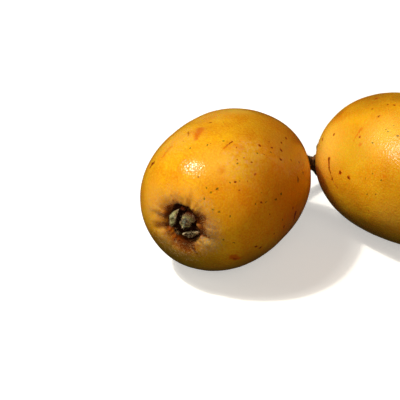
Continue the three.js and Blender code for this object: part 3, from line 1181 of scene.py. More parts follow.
class SkinPaint(Paint):
    """The skin's material while it is made."""

    def __init__(self, name: str, look: SkinFinish, place: Matrix) -> None:
        """Starts the material.

        Args:
            name: its name.
            look: its tints and values.
            place: the fruit's own frame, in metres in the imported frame.
        """
        super().__init__(name)
        self.look = look
        own_frame = {
            "Vector": self.place(),
            "Location": place.to_translation(),
            "Rotation": place.to_euler(),
            "Scale": (place.to_scale()[0] * MM,) * 3,
        }
        self.own = self.node("ShaderNodeMapping", own_frame, vector_type="TEXTURE").outputs[0]
        self.grain = self.group(GrainEffect, point=self.own, size=look.grain)
        self.masks: dict[Tone, Value] = dict.fromkeys(Tone, 0.0)

    def find_marks(self, marks: PlacedMarks) -> None:
        """Makes a mask of each tone's marks, with every mark's edge slightly ragged.

        Args:
            marks: the blemishes, and the patches of painted light and shade.
        """
        cloud = self.noise(self.own, self.look.ragged_cloud, output=1)
        wander = self.vector("SUBTRACT", cloud, (0.5,) * 3).outputs[0]
        near = self.vector("MULTIPLY_ADD", wander, (self.look.ragged,) * 3, self.own).outputs[0]
        for tone, found in marks.items():
            for placed in found:
                mark = placed.mark
                common = {
                    "point": near,
                    "radius": mark.radius,
                    "softness": mark.softness,
                    "strength": mark.strength,
                    "under": self.masks[tone],
                }
                if mark.to is None:
                    made = self.group(SpotEffect, centre=placed.start, **common)
                else:
                    made = self.group(StreakEffect, start=placed.start, end=placed.end, **common)
                self.masks[tone] = made[0]

    def ways(self, place: Matrix) -> list[Socket]:
        """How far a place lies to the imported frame's right of the fruit's middle, and below it.

        Args:
            place: the fruit's own frame.

        Returns:
            Both distances.
        """
        turned = place.to_3x3().inverted()
        ways = [tuple((turned @ Vector(way)).normalized()) for way in ((1, 0, 0), (0, 0, -1))]
        return [self.vector("DOT_PRODUCT", self.own, way).outputs["Value"] for way in ways]

    def scatter(self, dots: Dots, tone: Tone) -> Socket:
        """Adds scattered dots to the marks of their tone.

        Args:
            dots: the dots.
            tone: what they look like.

        Returns:
            The mask of both.
        """
        made = self.math("MULTIPLY", self.flecks(self.own, dots), dots.strength)
        return self.math("MAXIMUM", self.masks[tone], made)

    def ground(self, right: Socket, down: Socket) -> Socket:
        """The skin's colour away from marks.

        Args:
            right: how far a place lies to the right of the fruit's middle.
            down: how far it lies below it.

        Returns:
            Orange under a close, pale gold mottle, deeper to the right and olive below, both partly
            painted shade, and a pale speckle that is partly painted sparkle.
        """
        look = self.look
        drift = self.ramp(self.noise(self.own, look.drift_cloud), look.drift)
        low = look.mottle_middle - look.mottle / 2
        share = self.math("ADD", self.times_plus(self.grain["Cells"], look.mottle, low), drift)
        colour = self.mix(share, tint(look.orange), tint(look.gold))
        blotch = self.noise(self.own, look.blotch_cloud)
        # deeper orange to the right, away from the key lamp: riper skin, and painted shade
        side = self.times_plus(blotch, look.amber_and_shade_wander, right)
        amber = Step(look.amber_and_shade_from, look.amber_and_shade_full, 0.0, look.amber_and_shade_share)
        colour = self.lay(colour, self.ramp(side, amber), look.amber)
        # olive and darker below: painted shade
        under = self.times_plus(blotch, look.olive_shade_wander, down)
        olive = Step(look.olive_shade_from, look.olive_shade_from + look.olive_shade_fade, 0.0, look.olive_shade_share)
        colour = self.lay(colour, self.ramp(under, olive), look.olive)
        # pale speckle: the skin's own dots, and painted sparkle
        speckle_and_sparkle = self.ramp(self.noise(self.own, look.speckle_and_sparkle_cloud), look.speckle_and_sparkle)
        return self.lay(colour, speckle_and_sparkle, look.straw)

    def patches(self, colour: Socket) -> Socket:
        """Broad marks on the ground colour: pale, net-like and pinkish patches, blushes and casts, among
        them painted highlight, painted light and painted shade.

        Args:
            colour: the ground colour.

        Returns:
            The colour with the marks.
        """
        look, pale = self.look, self.masks[Tone.PALE]
        lattice = {"Vector": self.own, "Scale": look.net_scale}
        net = self.node("ShaderNodeTexVoronoi", lattice, feature="SMOOTH_F1").outputs["Distance"]
        ring = self.math("MULTIPLY", pale, self.ramp(net, look.net))
        colour = self.lay(colour, ring, look.straw)
        rosy = self.ramp(self.noise(self.own, look.rosy_cloud), look.rosy)
        colour = self.lay(colour, self.math("MULTIPLY", pale, rosy), look.pink)
        # some straw casts are painted highlight and painted light, and some umber casts painted shade
        casts = (
            (Tone.STRAW_AND_HIGHLIGHT, look.straw), (Tone.UNRIPE, look.unripe), (Tone.AMBER, look.amber),
            (Tone.UMBER_AND_SHADE, look.umber), (Tone.BLUSH, look.blush),
        )
        for tone, code in casts:
            colour = self.lay(colour, self.masks[tone], code)
        return colour

    def eye(self, colour: Socket) -> tuple[Socket, Socket]:
        """Down, and scorched creases, round the eye, with painted light on the basin's upper wall and
        painted shade in the creases, round the pocket's edge and down its wall.

        Args:
            colour: the colour under them.

        Returns:
            The colour with them, and where the down is.
        """
        look, masks = self.look, self.masks
        crease, edge, _ = self.tones()
        blotch = self.noise(self.own, look.eye_cloud)
        uneven = self.times_plus(blotch, look.down_wander, edge)
        zone = self.math("MAXIMUM", self.ramp(uneven, look.down_zone), masks[Tone.DOWN])
        speckle = self.noise(self.own, look.speckle_cloud)
        downy = self.math("MULTIPLY", zone, self.ramp(speckle, look.down_speckle))
        colour = self.lay(colour, downy, look.down)
        # painted light
        colour = self.lay(colour, masks[Tone.GLOW], look.painted_light_tint)
        dull = self.math("MULTIPLY", masks[Tone.KHAKI], self.ramp(speckle, look.khaki_speckle))
        colour = self.lay(colour, dull, look.khaki)
        colour = self.lay(colour, masks[Tone.OLIVE], look.moss)
        colour = self.lay(colour, masks[Tone.BURNT], look.burnt)
        # burnt and dark red-brown round the pocket's edge and in the creases: the skin's own scorch, and
        # painted shade
        ring = self.times_plus(blotch, look.ring_wander, edge)
        in_zone = self.ramp(edge, look.crease_zone)
        deep = self.math("MULTIPLY", self.ramp(crease, look.crease_dark), in_zone)
        faint = self.math("MULTIPLY", deep, look.crease_share)
        deep = self.math("MAXIMUM", faint, masks[Tone.SCORCH_AND_SHADE])
        rings, creases = self.ramp(ring, look.burnt_ring), self.ramp(deep, look.burnt_crease)
        colour = self.lay(colour, self.math("MAXIMUM", rings, creases), look.burnt)
        rings, creases = self.ramp(ring, look.scorch_and_shade_ring), self.ramp(deep, look.scorch_and_shade_crease)
        dark = self.math("MULTIPLY", self.math("MAXIMUM", rings, creases), look.scorch_and_shade_share)
        colour = self.lay(colour, dark, look.scorch_and_shade)
        # painted shade down the pocket's wall
        return self.lay(colour, self.ramp(edge, look.pocket_wall_shade_edge), look.pocket_wall_shade), zone


# ---- hair, and the fruit ----


@dataclass(frozen=True)
class HairFinish:
    """Fine hair, slightly uneven in colour."""

    light: str
    dark: str
    cloud: float = 1.5
    unevenness: Step = Step(0.35, 0.65)
    roughness: float = 0.7

    def build(self, name: str) -> Material:
        """Builds the material.

        Args:
            name: the material's name.

        Returns:
            The material.
        """
        graph = Paint(name)
        tuft = graph.noise(graph.place(), Cloud(self.cloud / MM, 1.0))
        share = graph.ramp(tuft, self.unevenness)
        colour = graph.mix(share, tint(self.dark), tint(self.light))
        return graph.finish(Base_Color=colour, Roughness=self.roughness)


@dataclass(frozen=True)
class Coat:
    """Hair in a ring round a fruit's eye."""

    name: str
    wool: Wool
    finish: HairFinish
    outer: float  # from the middle of the eye
    outer_fade: float
    inner: float
    inner_fade: float
    thinning: Layer = Layer(2.5, 0.3, 0.4)

    def patches(self, points: Array) -> Array:
        """How the hair thins and thickens within the ring."""
        return 1 - self.thinning.weight + roughness_at(points, self.thinning)

    def density(self, points: Array, eye: Array) -> Array:
        """How thickly the hairs stand.

        Args:
            points: n by 3, in millimetres.
            eye: the middle of the eye.

        Returns:
            n values from 0 to 1.
        """
        away = np.linalg.norm(points - eye, axis=1)
        outside = ease((self.outer - away) / self.outer_fade)
        return outside * ease((away - self.inner) / self.inner_fade) * self.patches(points)


@dataclass(frozen=True)
class TuftedCoat(Coat):
    """Hair that stands in tufts, with bare skin between them."""

    tufts: Layer = Layer(1.6, 4.1)
    tuft_edge: float = -0.35
    tuft_fade: float = 0.5

    def patches(self, points: Array) -> Array:
        """Where the tufts are."""
        return ease((roughness_at(points, self.tufts) - self.tuft_edge) / self.tuft_fade)


DOWN = Coat(
    "down",
    Wool(number=4600, length=(0.25, 0.55), thickness=0.024, lean=1.4, seed=11),
    HairFinish("f6d898", "d8a458"),
    outer=11.5,
    outer_fade=5.5,
    inner=4.6,
    inner_fade=0.8,
)
MATTED_DOWN = TuftedCoat(
    "mat",
    Wool(number=1900, length=(0.4, 1.1), thickness=0.04, lean=1.7, seed=17),
    HairFinish("8a4a1c", "3a1a08"),
    outer=5.7,
    outer_fade=0.9,
    inner=3.3,
    inner_fade=0.4,
)


@dataclass
class Fruit:
    """One fruit: its skin, and the down round its eye."""

    name: str
    heading: float  # of the stem end, from +Y towards +X, in degrees
    dip: float  # of the stem end, in degrees
    size: float
    turn: float  # round its own axis, in degrees
    marks: Marks
    form: FruitForm = FruitForm()
    finish: SkinFinish = SkinFinish()
    coats: tuple[Coat, ...] = (DOWN, MATTED_DOWN)
    eye_depth: float = 1.5  # of the eye's middle, from the fruit's end
    rings: int = 250
    sides: int = 310
    origin: Array = field(default_factory=lambda: np.zeros(3))
    tree: BVHTree | None = None

    def __post_init__(self) -> None:
        """Finds the fruit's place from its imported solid: the same form fills the same box."""
        solid_rings, solid_sides = 60, 108
        points = self.to_row(self.form.bare(solid_rings, solid_sides)[0].reshape(-1, 3))
        low, high = (np.array(corner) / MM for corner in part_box(f"fruit_{self.name}"))
        middle = (low + high - points.min(0) - points.max(0)) / 2
        self.origin = np.array([middle[0], middle[1], high[2] - points[:, 2].max()])

    def basis(self) -> Array:
        """The fruit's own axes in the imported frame.

        Returns:
            A 3 by 3 matrix with the axes as its columns.
        """
        heading, dip = math.radians(self.heading), math.radians(self.dip)
        axis = np.array([math.sin(heading), math.cos(heading), -math.tan(dip)])
        axis /= np.linalg.norm(axis)
        side = np.cross((0, 0, 1), axis)
        side /= np.linalg.norm(side)
        c, s = math.cos(math.radians(self.turn)), math.sin(math.radians(self.turn))
        turned = np.array([[c, -s, 0], [s, c, 0], [0, 0, 1]])
        return np.column_stack([side, np.cross(axis, side), axis]) @ turned

    def to_row(self, points: Array) -> Array:
        """Points of the fruit's own frame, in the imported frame."""
        return points @ self.basis().T * self.size + self.origin

    def to_own(self, points: Array) -> Array:
        """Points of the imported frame, in the fruit's own frame."""
        return (points - self.origin) @ self.basis() / self.size

    def build(self, view: View, camera: Array) -> None:
        """Builds the skin with its down, and dresses both.

        Args:
            view: finds the places of the blemishes and of the painted light and shade.
            camera: where the view's camera stands.
        """
        rings, tones = self.form.skin(self.rings, self.sides)
        placed = self.to_row(rings.reshape(-1, 3))
        placed[:, 2] = np.maximum(placed[:, 2], 0.0)
        skin = Solid()
        skin.add_loft(placed.reshape(rings.shape), tones)
        piece = skin.to_object(f"skin_{self.name}")
        self.tree = BVHTree.FromPolygons([Vector(p) for p in skin.points[0]], skin.faces)
        found = {tone: self._find(marks, view, camera) for tone, marks in self.marks.items()}
        turned = Matrix((self.basis() * self.size).tolist()).to_4x4()
        place = Matrix.Translation(Vector(self.origin * MM)) @ turned
        material = self.finish.build(f"loquat skin {self.name}", place, found)
        dress(piece, material, f"fruit_{self.name}")
        low_eye = [*self.form.eye_place, self.eye_depth - self.form.eye_half]
        eye = self.to_row(np.array([low_eye]))[0]
        for coat in self.coats:
            hairs = coat.wool.grow(
                f"{coat.name}_{self.name}", piece, lambda points, coat=coat: coat.density(points, eye)
            )
            dress(hairs, coat.finish.build(f"{coat.name} {self.name}"))

    def _find(self, marks: Iterable[Mark], view: View, camera: Array) -> list[PlacedMark]:
        """Finds where the view's pixels meet the skin. Marks that miss it are left out.

        Args:
            marks: the blemishes, and the patches of painted light and shade.
            view: gives the pixels' rays.
            camera: where the rays start.

        Returns:
            The marks that the skin has, in the same order.
        """
        found = []
        for mark in marks:
            rays = [Vector(view.ray(pixel)) for pixel in (mark.pixel, mark.to or mark.pixel)]
            hits = [self.tree.ray_cast(Vector(camera), ray)[0] for ray in rays]
            if None in hits:
                LOG.warning("no skin under pixel %s", mark.pixel)
                continue
            found.append(PlacedMark(mark, *(Vector(self.to_own(np.array(hit))) for hit in hits)))
        return found


# ---- calyx ----


Plan = tuple[float, float]


@dataclass(frozen=True)
class Sepal:
    """A thick, blunt tongue that rises from the cup's rim and folds in over the eye.

    Its corners are about the middle of the eye: to the fruit's left, and up.
    """

    root: tuple[Plan, Plan]
    tip: tuple[Plan, Plan]
    bulge: Plan  # of its root, outwards, and of its tip, inwards
    rise: float  # above the cup's rim
    bared_and_lit: float = 1.0  # below 1, more of it keeps the dark of its root; on the small top sepal this is painted shade
    wear_and_light: float = 0.0  # above 0 it is paler, and below 0 darker; on the left sepal it is raised as painted light
    pale_and_lit_margin: float = 1.0  # how pale its margin is; on the lower right sepal it is raised as painted light on the lit edge


@dataclass(frozen=True)
class FeltFinish:
    """Dried, felted sepals: grey-green backs, dark roots and pale edges, with painted light on the left
    sepal and on the lower right sepal's edge, and painted shade on the small top sepal.
    """

    # tints
    moss: str = "b4be70"
    sage: str = "d8dc9a"
    slate: str = "6c7c70"
    umber: str = "80603e"
    bark: str = "2a170b"
    clay: str = "b47c54"
    cream: str = "f4e2b4"
    root: str = "5c240c"
    hollow: str = "30160b"
    # the shader's own values
    roughness: float = 0.85
    gloss: float = 0.1
    relief: float = 0.8
    relief_depth: float = 0.12
    # where each tint lies
    grain: float = 0.3
    grain_shade: tuple[float, float] = (0.7, 0.55)
    patch_cloud: Cloud = Cloud(0.7, 3.0, 0.6)
    moss_patch: Step = Step(0.42, 0.58)
    slate_cloud: Cloud = Cloud(0.5, 2.0, 0.4)
    slate_patch: Step = Step(0.5, 0.62, 0.0, 0.8)
    ragged_cloud: Cloud = Cloud(1.9)
    ragged_wear_and_light: float = 0.9
    ragged_rim: float = 1.6
    sage_height: Step = Step(0.75, 1.05, 0.0, 0.85)
    clay_rim: Step = Step(0.1, 0.7, 0.0, 0.85)
    bark_hollow: Step = Step(0.42, 0.12)
    cream_patch: Step = Step(0.3, 0.5, 0.6, 1.0)
    cream_margin: float = 0.7
    cream_wear_and_light: float = 0.5
    cream_edge: Step = Step(0.65, 0.95, 0.0, 0.95)
    root_wear_and_light: Step = Step(0.12, 0.4)
    root_end: Step = Step(0.42, 0.1)

    def build(self, name: str) -> Material:
        """Builds the material. The mesh's tones are its wear, with painted light and shade, how far along,
        and its margin.

        Args:
            name: the material's name.

        Returns:
            The material.
        """
        graph = Paint(name)
        point = graph.place_in_mm()
        wear_and_light, along, margin = graph.tones()
        grain = graph.group(GrainEffect, point=point, size=self.grain)
        patch = graph.noise(point, self.patch_cloud)
        ragged = graph.math("SUBTRACT", graph.noise(point, self.ragged_cloud), 0.5)
        share = graph.ramp(patch, self.moss_patch)
        colour = graph.mix(share, tint(self.umber), tint(self.moss))
        cool = graph.ramp(graph.noise(point, self.slate_cloud), self.slate_patch)
        colour = graph.lay(colour, cool, self.slate)
        # wear, with painted light and shade on the sepals given it
        height = graph.times_plus(ragged, self.ragged_wear_and_light, wear_and_light)
        colour = graph.lay(colour, graph.ramp(height, self.sage_height), self.sage)
        rim = graph.times_plus(ragged, self.ragged_rim, margin)
        colour = graph.lay(colour, graph.ramp(rim, self.clay_rim), self.clay)
        colour = graph.lay(colour, graph.ramp(height, self.bark_hollow), self.bark)
        patchy = graph.math("MULTIPLY", margin, graph.ramp(patch, self.cream_patch))
        high = graph.math("MULTIPLY", height, self.cream_wear_and_light)
        edge = graph.times_plus(patchy, self.cream_margin, high)
        colour = graph.lay(colour, graph.ramp(edge, self.cream_edge), self.cream)
        share = graph.ramp(height, self.root_wear_and_light)
        root = graph.mix(share, tint(self.hollow), tint(self.root))
        colour = graph.mix(graph.ramp(along, self.root_end), colour, root)
        shade = graph.times_plus(grain["Cells"], *self.grain_shade)
        grey = graph.node("ShaderNodeCombineXYZ", dict.fromkeys(range(3), shade)).outputs[0]
        return graph.finish(
            Base_Color=graph.mix(1.0, colour, grey, "MULTIPLY"),
            Roughness=self.roughness,
            Normal=graph.bump(grain["Height"], self.relief_depth, self.relief),
            Specular_IOR_Level=self.gloss,
        )


@dataclass
class Calyx:
    """The eye of a fruit: a low cup, its sepals, the dried stamens and the sepals' wool."""

    fruit: Fruit
    cup_radius: float = 4.2
    cup_floor: float = 18.6
    cup_rim: float = 20.3
    cup_wall: float = 0.9
    cup_sides: int = 72
    clearance: float = 0.3  # to the pocket's edge
    thickness: float = 0.9
    thinning: float = 0.4
    rounding: float = 0.35
    droop: float = 0.35
    bluntness: int = 10  # how near its tip a sepal narrows
    raggedness: Layer = Layer(1.0, 0.4, 0.3)  # of its edges, as a share of its width
    ragged_waves: float = 3.2
    seed_step: float = 3.1  # from sepal to sepal
    fold: float = 0.16
    fold_turns: Point = (6.5, 1.5, 2.1)  # across a sepal, along it, and from sepal to sepal
    crumple: Layer = Layer(1.15, 2.2, 2.2)
    crumple_top: float = 0.6
    crumple_depth: float = 0.22
    grain: Layer = Layer(0.4, 7.7, 0.12)
    worn_middle: float = 0.5
    worn_tops: float = 0.6  # how much more wear the tops of the crumples have
    tip_margin: tuple[float, float] = (0.75, 0.25)  # where it starts along a sepal, and its width
    side_margin: tuple[float, float] = (0.8, 0.45)  # its strength, and how the sides differ
    root_stand: float = 40.0  # degrees from the eye's plane, of the root's thickness
    tip_stand: float = 90.0
    # the left sepal is paler as painted light, the small top sepal keeps its root's dark all over as
    # painted shade, and the lower right sepal's cream edge is painted light
    sepals: tuple[Sepal, ...] = (
        Sepal(((1.7, 3.0), (3.4, -1.4)), ((1.2, 3.5), (2.1, -0.6)), (0.9, 0.0), 1.7, 2.4, 0.45, 0.8),
        Sepal(((1.5, 3.6), (-0.2, 3.6)), ((1.0, 3.1), (0.0, 3.0)), (0.1, 0.0), 0.2, 0.15),
        Sepal(((-0.1, 2.9), (-3.0, 1.6)), ((0.7, -0.1), (-1.5, -0.4)), (0.6, 0.2), 1.8, 1.0, 0.1, 0.55),
        Sepal(((0.3, -3.3), (-4.0, -1.7)), ((0.1, -2.5), (-3.7, -1.2)), (0.5, 0.1), 1.1, 1.0, -0.2, 2.6),
        Sepal(((2.8, -1.9), (0.8, -3.5)), ((2.4, -1.6), (0.9, -3.0)), (0.1, 0.0), 0.7, 0.6, -0.35, 0.7),
    )
    steps: int = 60
    sides: int = 64
    wool_start: tuple[float, float] = (0.3, 0.6)  # above the cup's rim, and its fade
    stamens: int = 16
    stamen_seed: int = 5
    stamen_ring: tuple[float, float] = (1.4, 2.4)  # least and most, of its foot
    stamen_reach: tuple[float, float] = (0.2, 0.9)  # least and most, of its tip, as a share
    stamen_top: tuple[float, float] = (0.2, 1.2)  # least and most, below the cup's rim
    stamen_sink: float = 0.4
    stamen_turn: float = 0.2  # radians that it may be out of its place
    stamen_stray: float = 0.3
    stamen_knee: float = 0.15
    stamen_sides: int = 6
    stamen_radii: tuple[float, ...] = (0.1, 0.09, 0.08, 0.08, 0.08, 0.09, 0.15, 0.16, 0.06)
    wool: Wool = Wool(number=2200, length=(0.2, 0.5), thickness=0.026, lean=1.7, seed=23)
    felt: FeltFinish = FeltFinish()
    wool_finish: HairFinish = HairFinish("dcc698", "7a5630")
    stamen_finish: HairFinish = HairFinish("3a2416", "150a05")

    def build(self) -> None:
        """Builds the calyx, its stamens and its wool, and dresses them."""
        name = self.fruit.name
        body = Solid()
        self._cup(body)
        for number, sepal in enumerate(self.sepals):
            self._sepal(body, sepal, number)
        piece = body.to_object(f"sepals_{name}")
        dress(piece, self.felt.build(f"sepal felt {name}"), f"calyx_{name}")
        dress(self._stamens(), self.stamen_finish.build(f"dried stamen {name}"))
        hairs = self.wool.grow(f"sepal_wool_{name}", piece, self.wool_density)
        dress(hairs, self.wool_finish.build(f"sepal wool {name}"))

    def wool_density(self, points: Array) -> Array:
        """How thickly wool stands: on the sepals, and not on the cup under them."""
        start, fade = self.wool_start
        return ease((-self.fruit.to_own(points)[:, 2] - self.cup_rim - start) / fade)

    def _place(self, points: Array) -> Array:
        """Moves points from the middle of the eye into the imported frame.

        Args:
            points: an array whose last axis is a point.

        Returns:
            An array of the same shape.
        """
        moved = points.reshape(-1, 3) + np.array([*self.fruit.form.eye_place, 0.0])
        return self.fruit.to_row(moved).reshape(points.shape)

    def _cup(self, body: Solid) -> None:
        """Adds the low cup, an oval bowl with a rounded rim.

        Args:
            body: takes the cup.
        """
        wall, radius, rim, floor = self.cup_wall, self.cup_radius, self.cup_rim, self.cup_floor
        middle = 0.02  # the ends of the profile, almost on the axis
        under = [(middle, -floor), (radius * 0.6, -floor), (radius - 0.2, -floor)]
        outside = [(radius, -floor - 0.3), (radius, -rim + wall / 2)]
        lip = [(radius - wall / 4, -rim), (radius - wall / 2, -rim - 0.1), (radius - wall, -rim)]
        inside = [
            (radius - 1.4 * wall, -floor - 1.4 * wall),
            (radius - 2 * wall, -floor - wall),
            (radius * 0.3, -floor - wall * 0.8),
            (middle, -floor - wall * 0.8),
        ]
        profile = np.array(under + outside + lip + inside)
        turns = np.linspace(0, 2 * math.pi, self.cup_sides, endpoint=False)
        circle = np.column_stack([np.cos(turns), np.sin(turns)]) @ self.fruit.form.oval()
        plan = profile[:, :1, None] / (radius + self.clearance) * circle
        heights = np.repeat(profile[:, 1:2, None], len(turns), 1)
        body.add_loft(self._place(np.concatenate([plan, heights], -1)))

    def _sepal(self, body: Solid, sepal: Sepal, number: int) -> None:
        """Adds one sepal, with a lumpy, ribbed surface and ragged edges.

        Args:
            body: takes the sepal.
            sepal: its sizes.
            number: its place in the row, which sets its own unevenness.
        """
        u = np.linspace(0, 1, self.steps)[:, None]
        turns = np.linspace(0, 2 * math.pi, self.sides, endpoint=False)[None, :]
        v = np.cos(turns)
        side = number * self.seed_step + 0.5 * np.sign(v)
        along = np.stack(np.broadcast_arrays(u * self.ragged_waves, side, 0 * u), -1).reshape(-1, 3)
        ragged = roughness_at(along, self.raggedness).reshape(self.steps, -1)
        across = v * (1 - self.rounding * u**self.bluntness) * (1 + ragged * ease(u * 3))
        root, tip = np.array(sepal.root), np.array(sepal.tip)
        share = (1 + across)[..., None] / 2
        start = root[0] + (root[1] - root[0]) * share
        end = tip[0] + (tip[1] - tip[0]) * share
        outwards = root.mean(0) / np.linalg.norm(root.mean(0))
        bow = (sepal.bulge[0] * (1 - u) - sepal.bulge[1] * u) * (1 - v**2)
        plan = start + (end - start) * u[..., None] + outwards * bow[..., None]
        climb = 1 - (1 - np.minimum(u / 0.5, 1)) ** 2
        low, top = self.cup_rim - self.cup_wall, self.cup_rim + sepal.rise
        rise = math.radians(self.tip_stand - self.root_stand)
        stand = math.radians(self.root_stand) + rise * ease(u * 2)
        half_thick = self.thickness / 2 * (1 - self.thinning * u)
        turns_across, turns_along, turn = self.fold_turns
        wave = np.cos(v * turns_across + number * turn + u * turns_along)
        folds = self.fold * wave * (1 - v**2) * ease(u * 3)
        thick = half_thick * np.sin(turns) + folds - self.droop * v**2 * ease(u * 2)
        plan = plan + outwards * (thick * np.cos(stand))[..., None]
        height = low + (top - low) * climb + thick * np.sin(stand)
        flat = np.concatenate([plan, -height[..., None]], -1).reshape(-1, 3)
        middles = np.repeat(flat.reshape(self.steps, -1, 3).mean(1), self.sides, 0)
        out = flat - middles
        out /= np.linalg.norm(out, axis=1)[:, None] + NEVER_ZERO
        creases, grain = (
            roughness_at(flat, layer._replace(seed=layer.seed + number))
            for layer in (self.crumple, self.grain)
        )
        crumple = self.crumple_top - np.abs(creases)
        lumps = crumple * self.crumple_depth + grain
        flat = flat + out * (lumps * ease(u * 4).repeat(self.sides, 1).ravel())[:, None]
        # wear, higher on the crumples' tops, plus each sepal's own value, which on the left sepal is
        # painted light
        wear_and_light = self.worn_middle + crumple * self.worn_tops + sepal.wear_and_light
        wear_and_light = np.clip(wear_and_light, 0, 1).reshape(self.steps, -1)
        start, width = self.tip_margin
        edges = np.maximum(np.abs(v) ** 4 + 0 * u, ease((u - start) / width))
        strength, tilt = self.side_margin
        margin = edges * np.clip(strength - tilt * v, 0, 1) * sepal.pale_and_lit_margin
        tones = np.stack([wear_and_light, np.broadcast_to(u * sepal.bared_and_lit, wear_and_light.shape), margin], -1)
        body.add_loft(self._place(flat).reshape(self.steps, -1, 3), tones)

    def _stamens(self) -> Piece:
        """Dried stamens that stand in the cup and lean together.

        Returns:
            One object that holds them all.
        """
        draw = np.random.default_rng(self.stamen_seed)
        tuft = Solid()
        for number in range(self.stamens):
            angle = 2 * math.pi * number / self.stamens
            angle += draw.uniform(-self.stamen_turn, self.stamen_turn)
            ring, reach = draw.uniform(*self.stamen_ring), draw.uniform(*self.stamen_reach)
            low = -self.cup_floor - self.stamen_sink
            foot = np.array([ring * math.cos(angle), ring * math.sin(angle), low])
            top = foot[:2] * reach + draw.normal(size=2) * self.stamen_stray
            tip = np.array([*top, -self.cup_rim - draw.uniform(*self.stamen_top)])
            knee = (foot + tip) / 2 + np.array([*(foot[:2] * self.stamen_knee), 0.0])
            radii = np.array(self.stamen_radii)
            rings = tube_rings(Route([foot, knee, tip]), radii, self.stamen_sides)
            tuft.add_loft(self._place(rings))
        return tuft.to_object(f"stamens_{self.fruit.name}")


# ---- stalk ----


@dataclass(frozen=True)
class Cut:
    """The face where the stalk was cut."""

    point: Array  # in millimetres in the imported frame
    normal: Array  # the way that it faces


@dataclass(frozen=True)
class BarkFinish:
    """A young, woolly stalk: olive-brown bark under rusty felt, with a fresh, pale cut."""

    # tints
    bark: str = "6f5530"
    dark: str = "3c2814"
    rust: str = "8a5a30"
    pale: str = "b09a6c"
    wood: str = "d9c79a"
    pith: str = "a98a58"
    # the shader's own values
    roughness: float = 0.8
    relief: float = 0.7
    relief_depth: float = 0.12
    # where each tint lies
    grain: float = 0.5
    patch_cloud: Cloud = Cloud(0.4, 3.0, 0.5)
    rust_patch: Step = Step(0.35, 0.65)
    dark_cells: Step = Step(0.7, 0.2, 0.0, 0.8)
    pores: Dots = Dots(1.3, 0.22, 0.5, 0.6)
    pith_edge: Step = Step(0.9, 0.6)
    ring_spacing: float = 14.0  # radians to the millimetre
    ring_tint: Step = Step(0.4, 1.0, 0.0, 0.25)
    cut_face: Step = Step(-0.12, -0.05)

    def build(self, cut: Cut) -> Material:
        """Builds the material.

        Args:
            cut: where the wood shows.

        Returns:
            The material.
        """
        graph = Paint("stalk bark")
        point = graph.place_in_mm()
        grain = graph.group(GrainEffect, point=point, size=self.grain)
        patch = graph.ramp(graph.noise(point, self.patch_cloud), self.rust_patch)
        colour = graph.mix(patch, tint(self.bark), tint(self.rust))
        colour = graph.lay(colour, graph.ramp(grain["Cells"], self.dark_cells), self.dark)
        pores = graph.flecks(point, self.pores)
        colour = graph.lay(colour, pores, self.pale)
        from_cut = graph.vector("SUBTRACT", point, tuple(cut.point)).outputs["Vector"]
        off = graph.vector("DOT_PRODUCT", from_cut, tuple(cut.normal)).outputs["Value"]
        away = graph.vector("LENGTH", from_cut).outputs["Value"]
        wood = graph.mix(graph.ramp(away, self.pith_edge), tint(self.wood), tint(self.pith))
        rings = graph.math("SINE", graph.math("MULTIPLY", away, self.ring_spacing))
        wood = graph.lay(wood, graph.ramp(rings, self.ring_tint), self.pith)
        height = graph.times_plus(pores, self.pores.strength, grain["Height"])
        return graph.finish(
            Base_Color=graph.mix(graph.ramp(off, self.cut_face), colour, wood),
            Roughness=self.roughness,
            Normal=graph.bump(height, self.relief_depth, self.relief),
        )


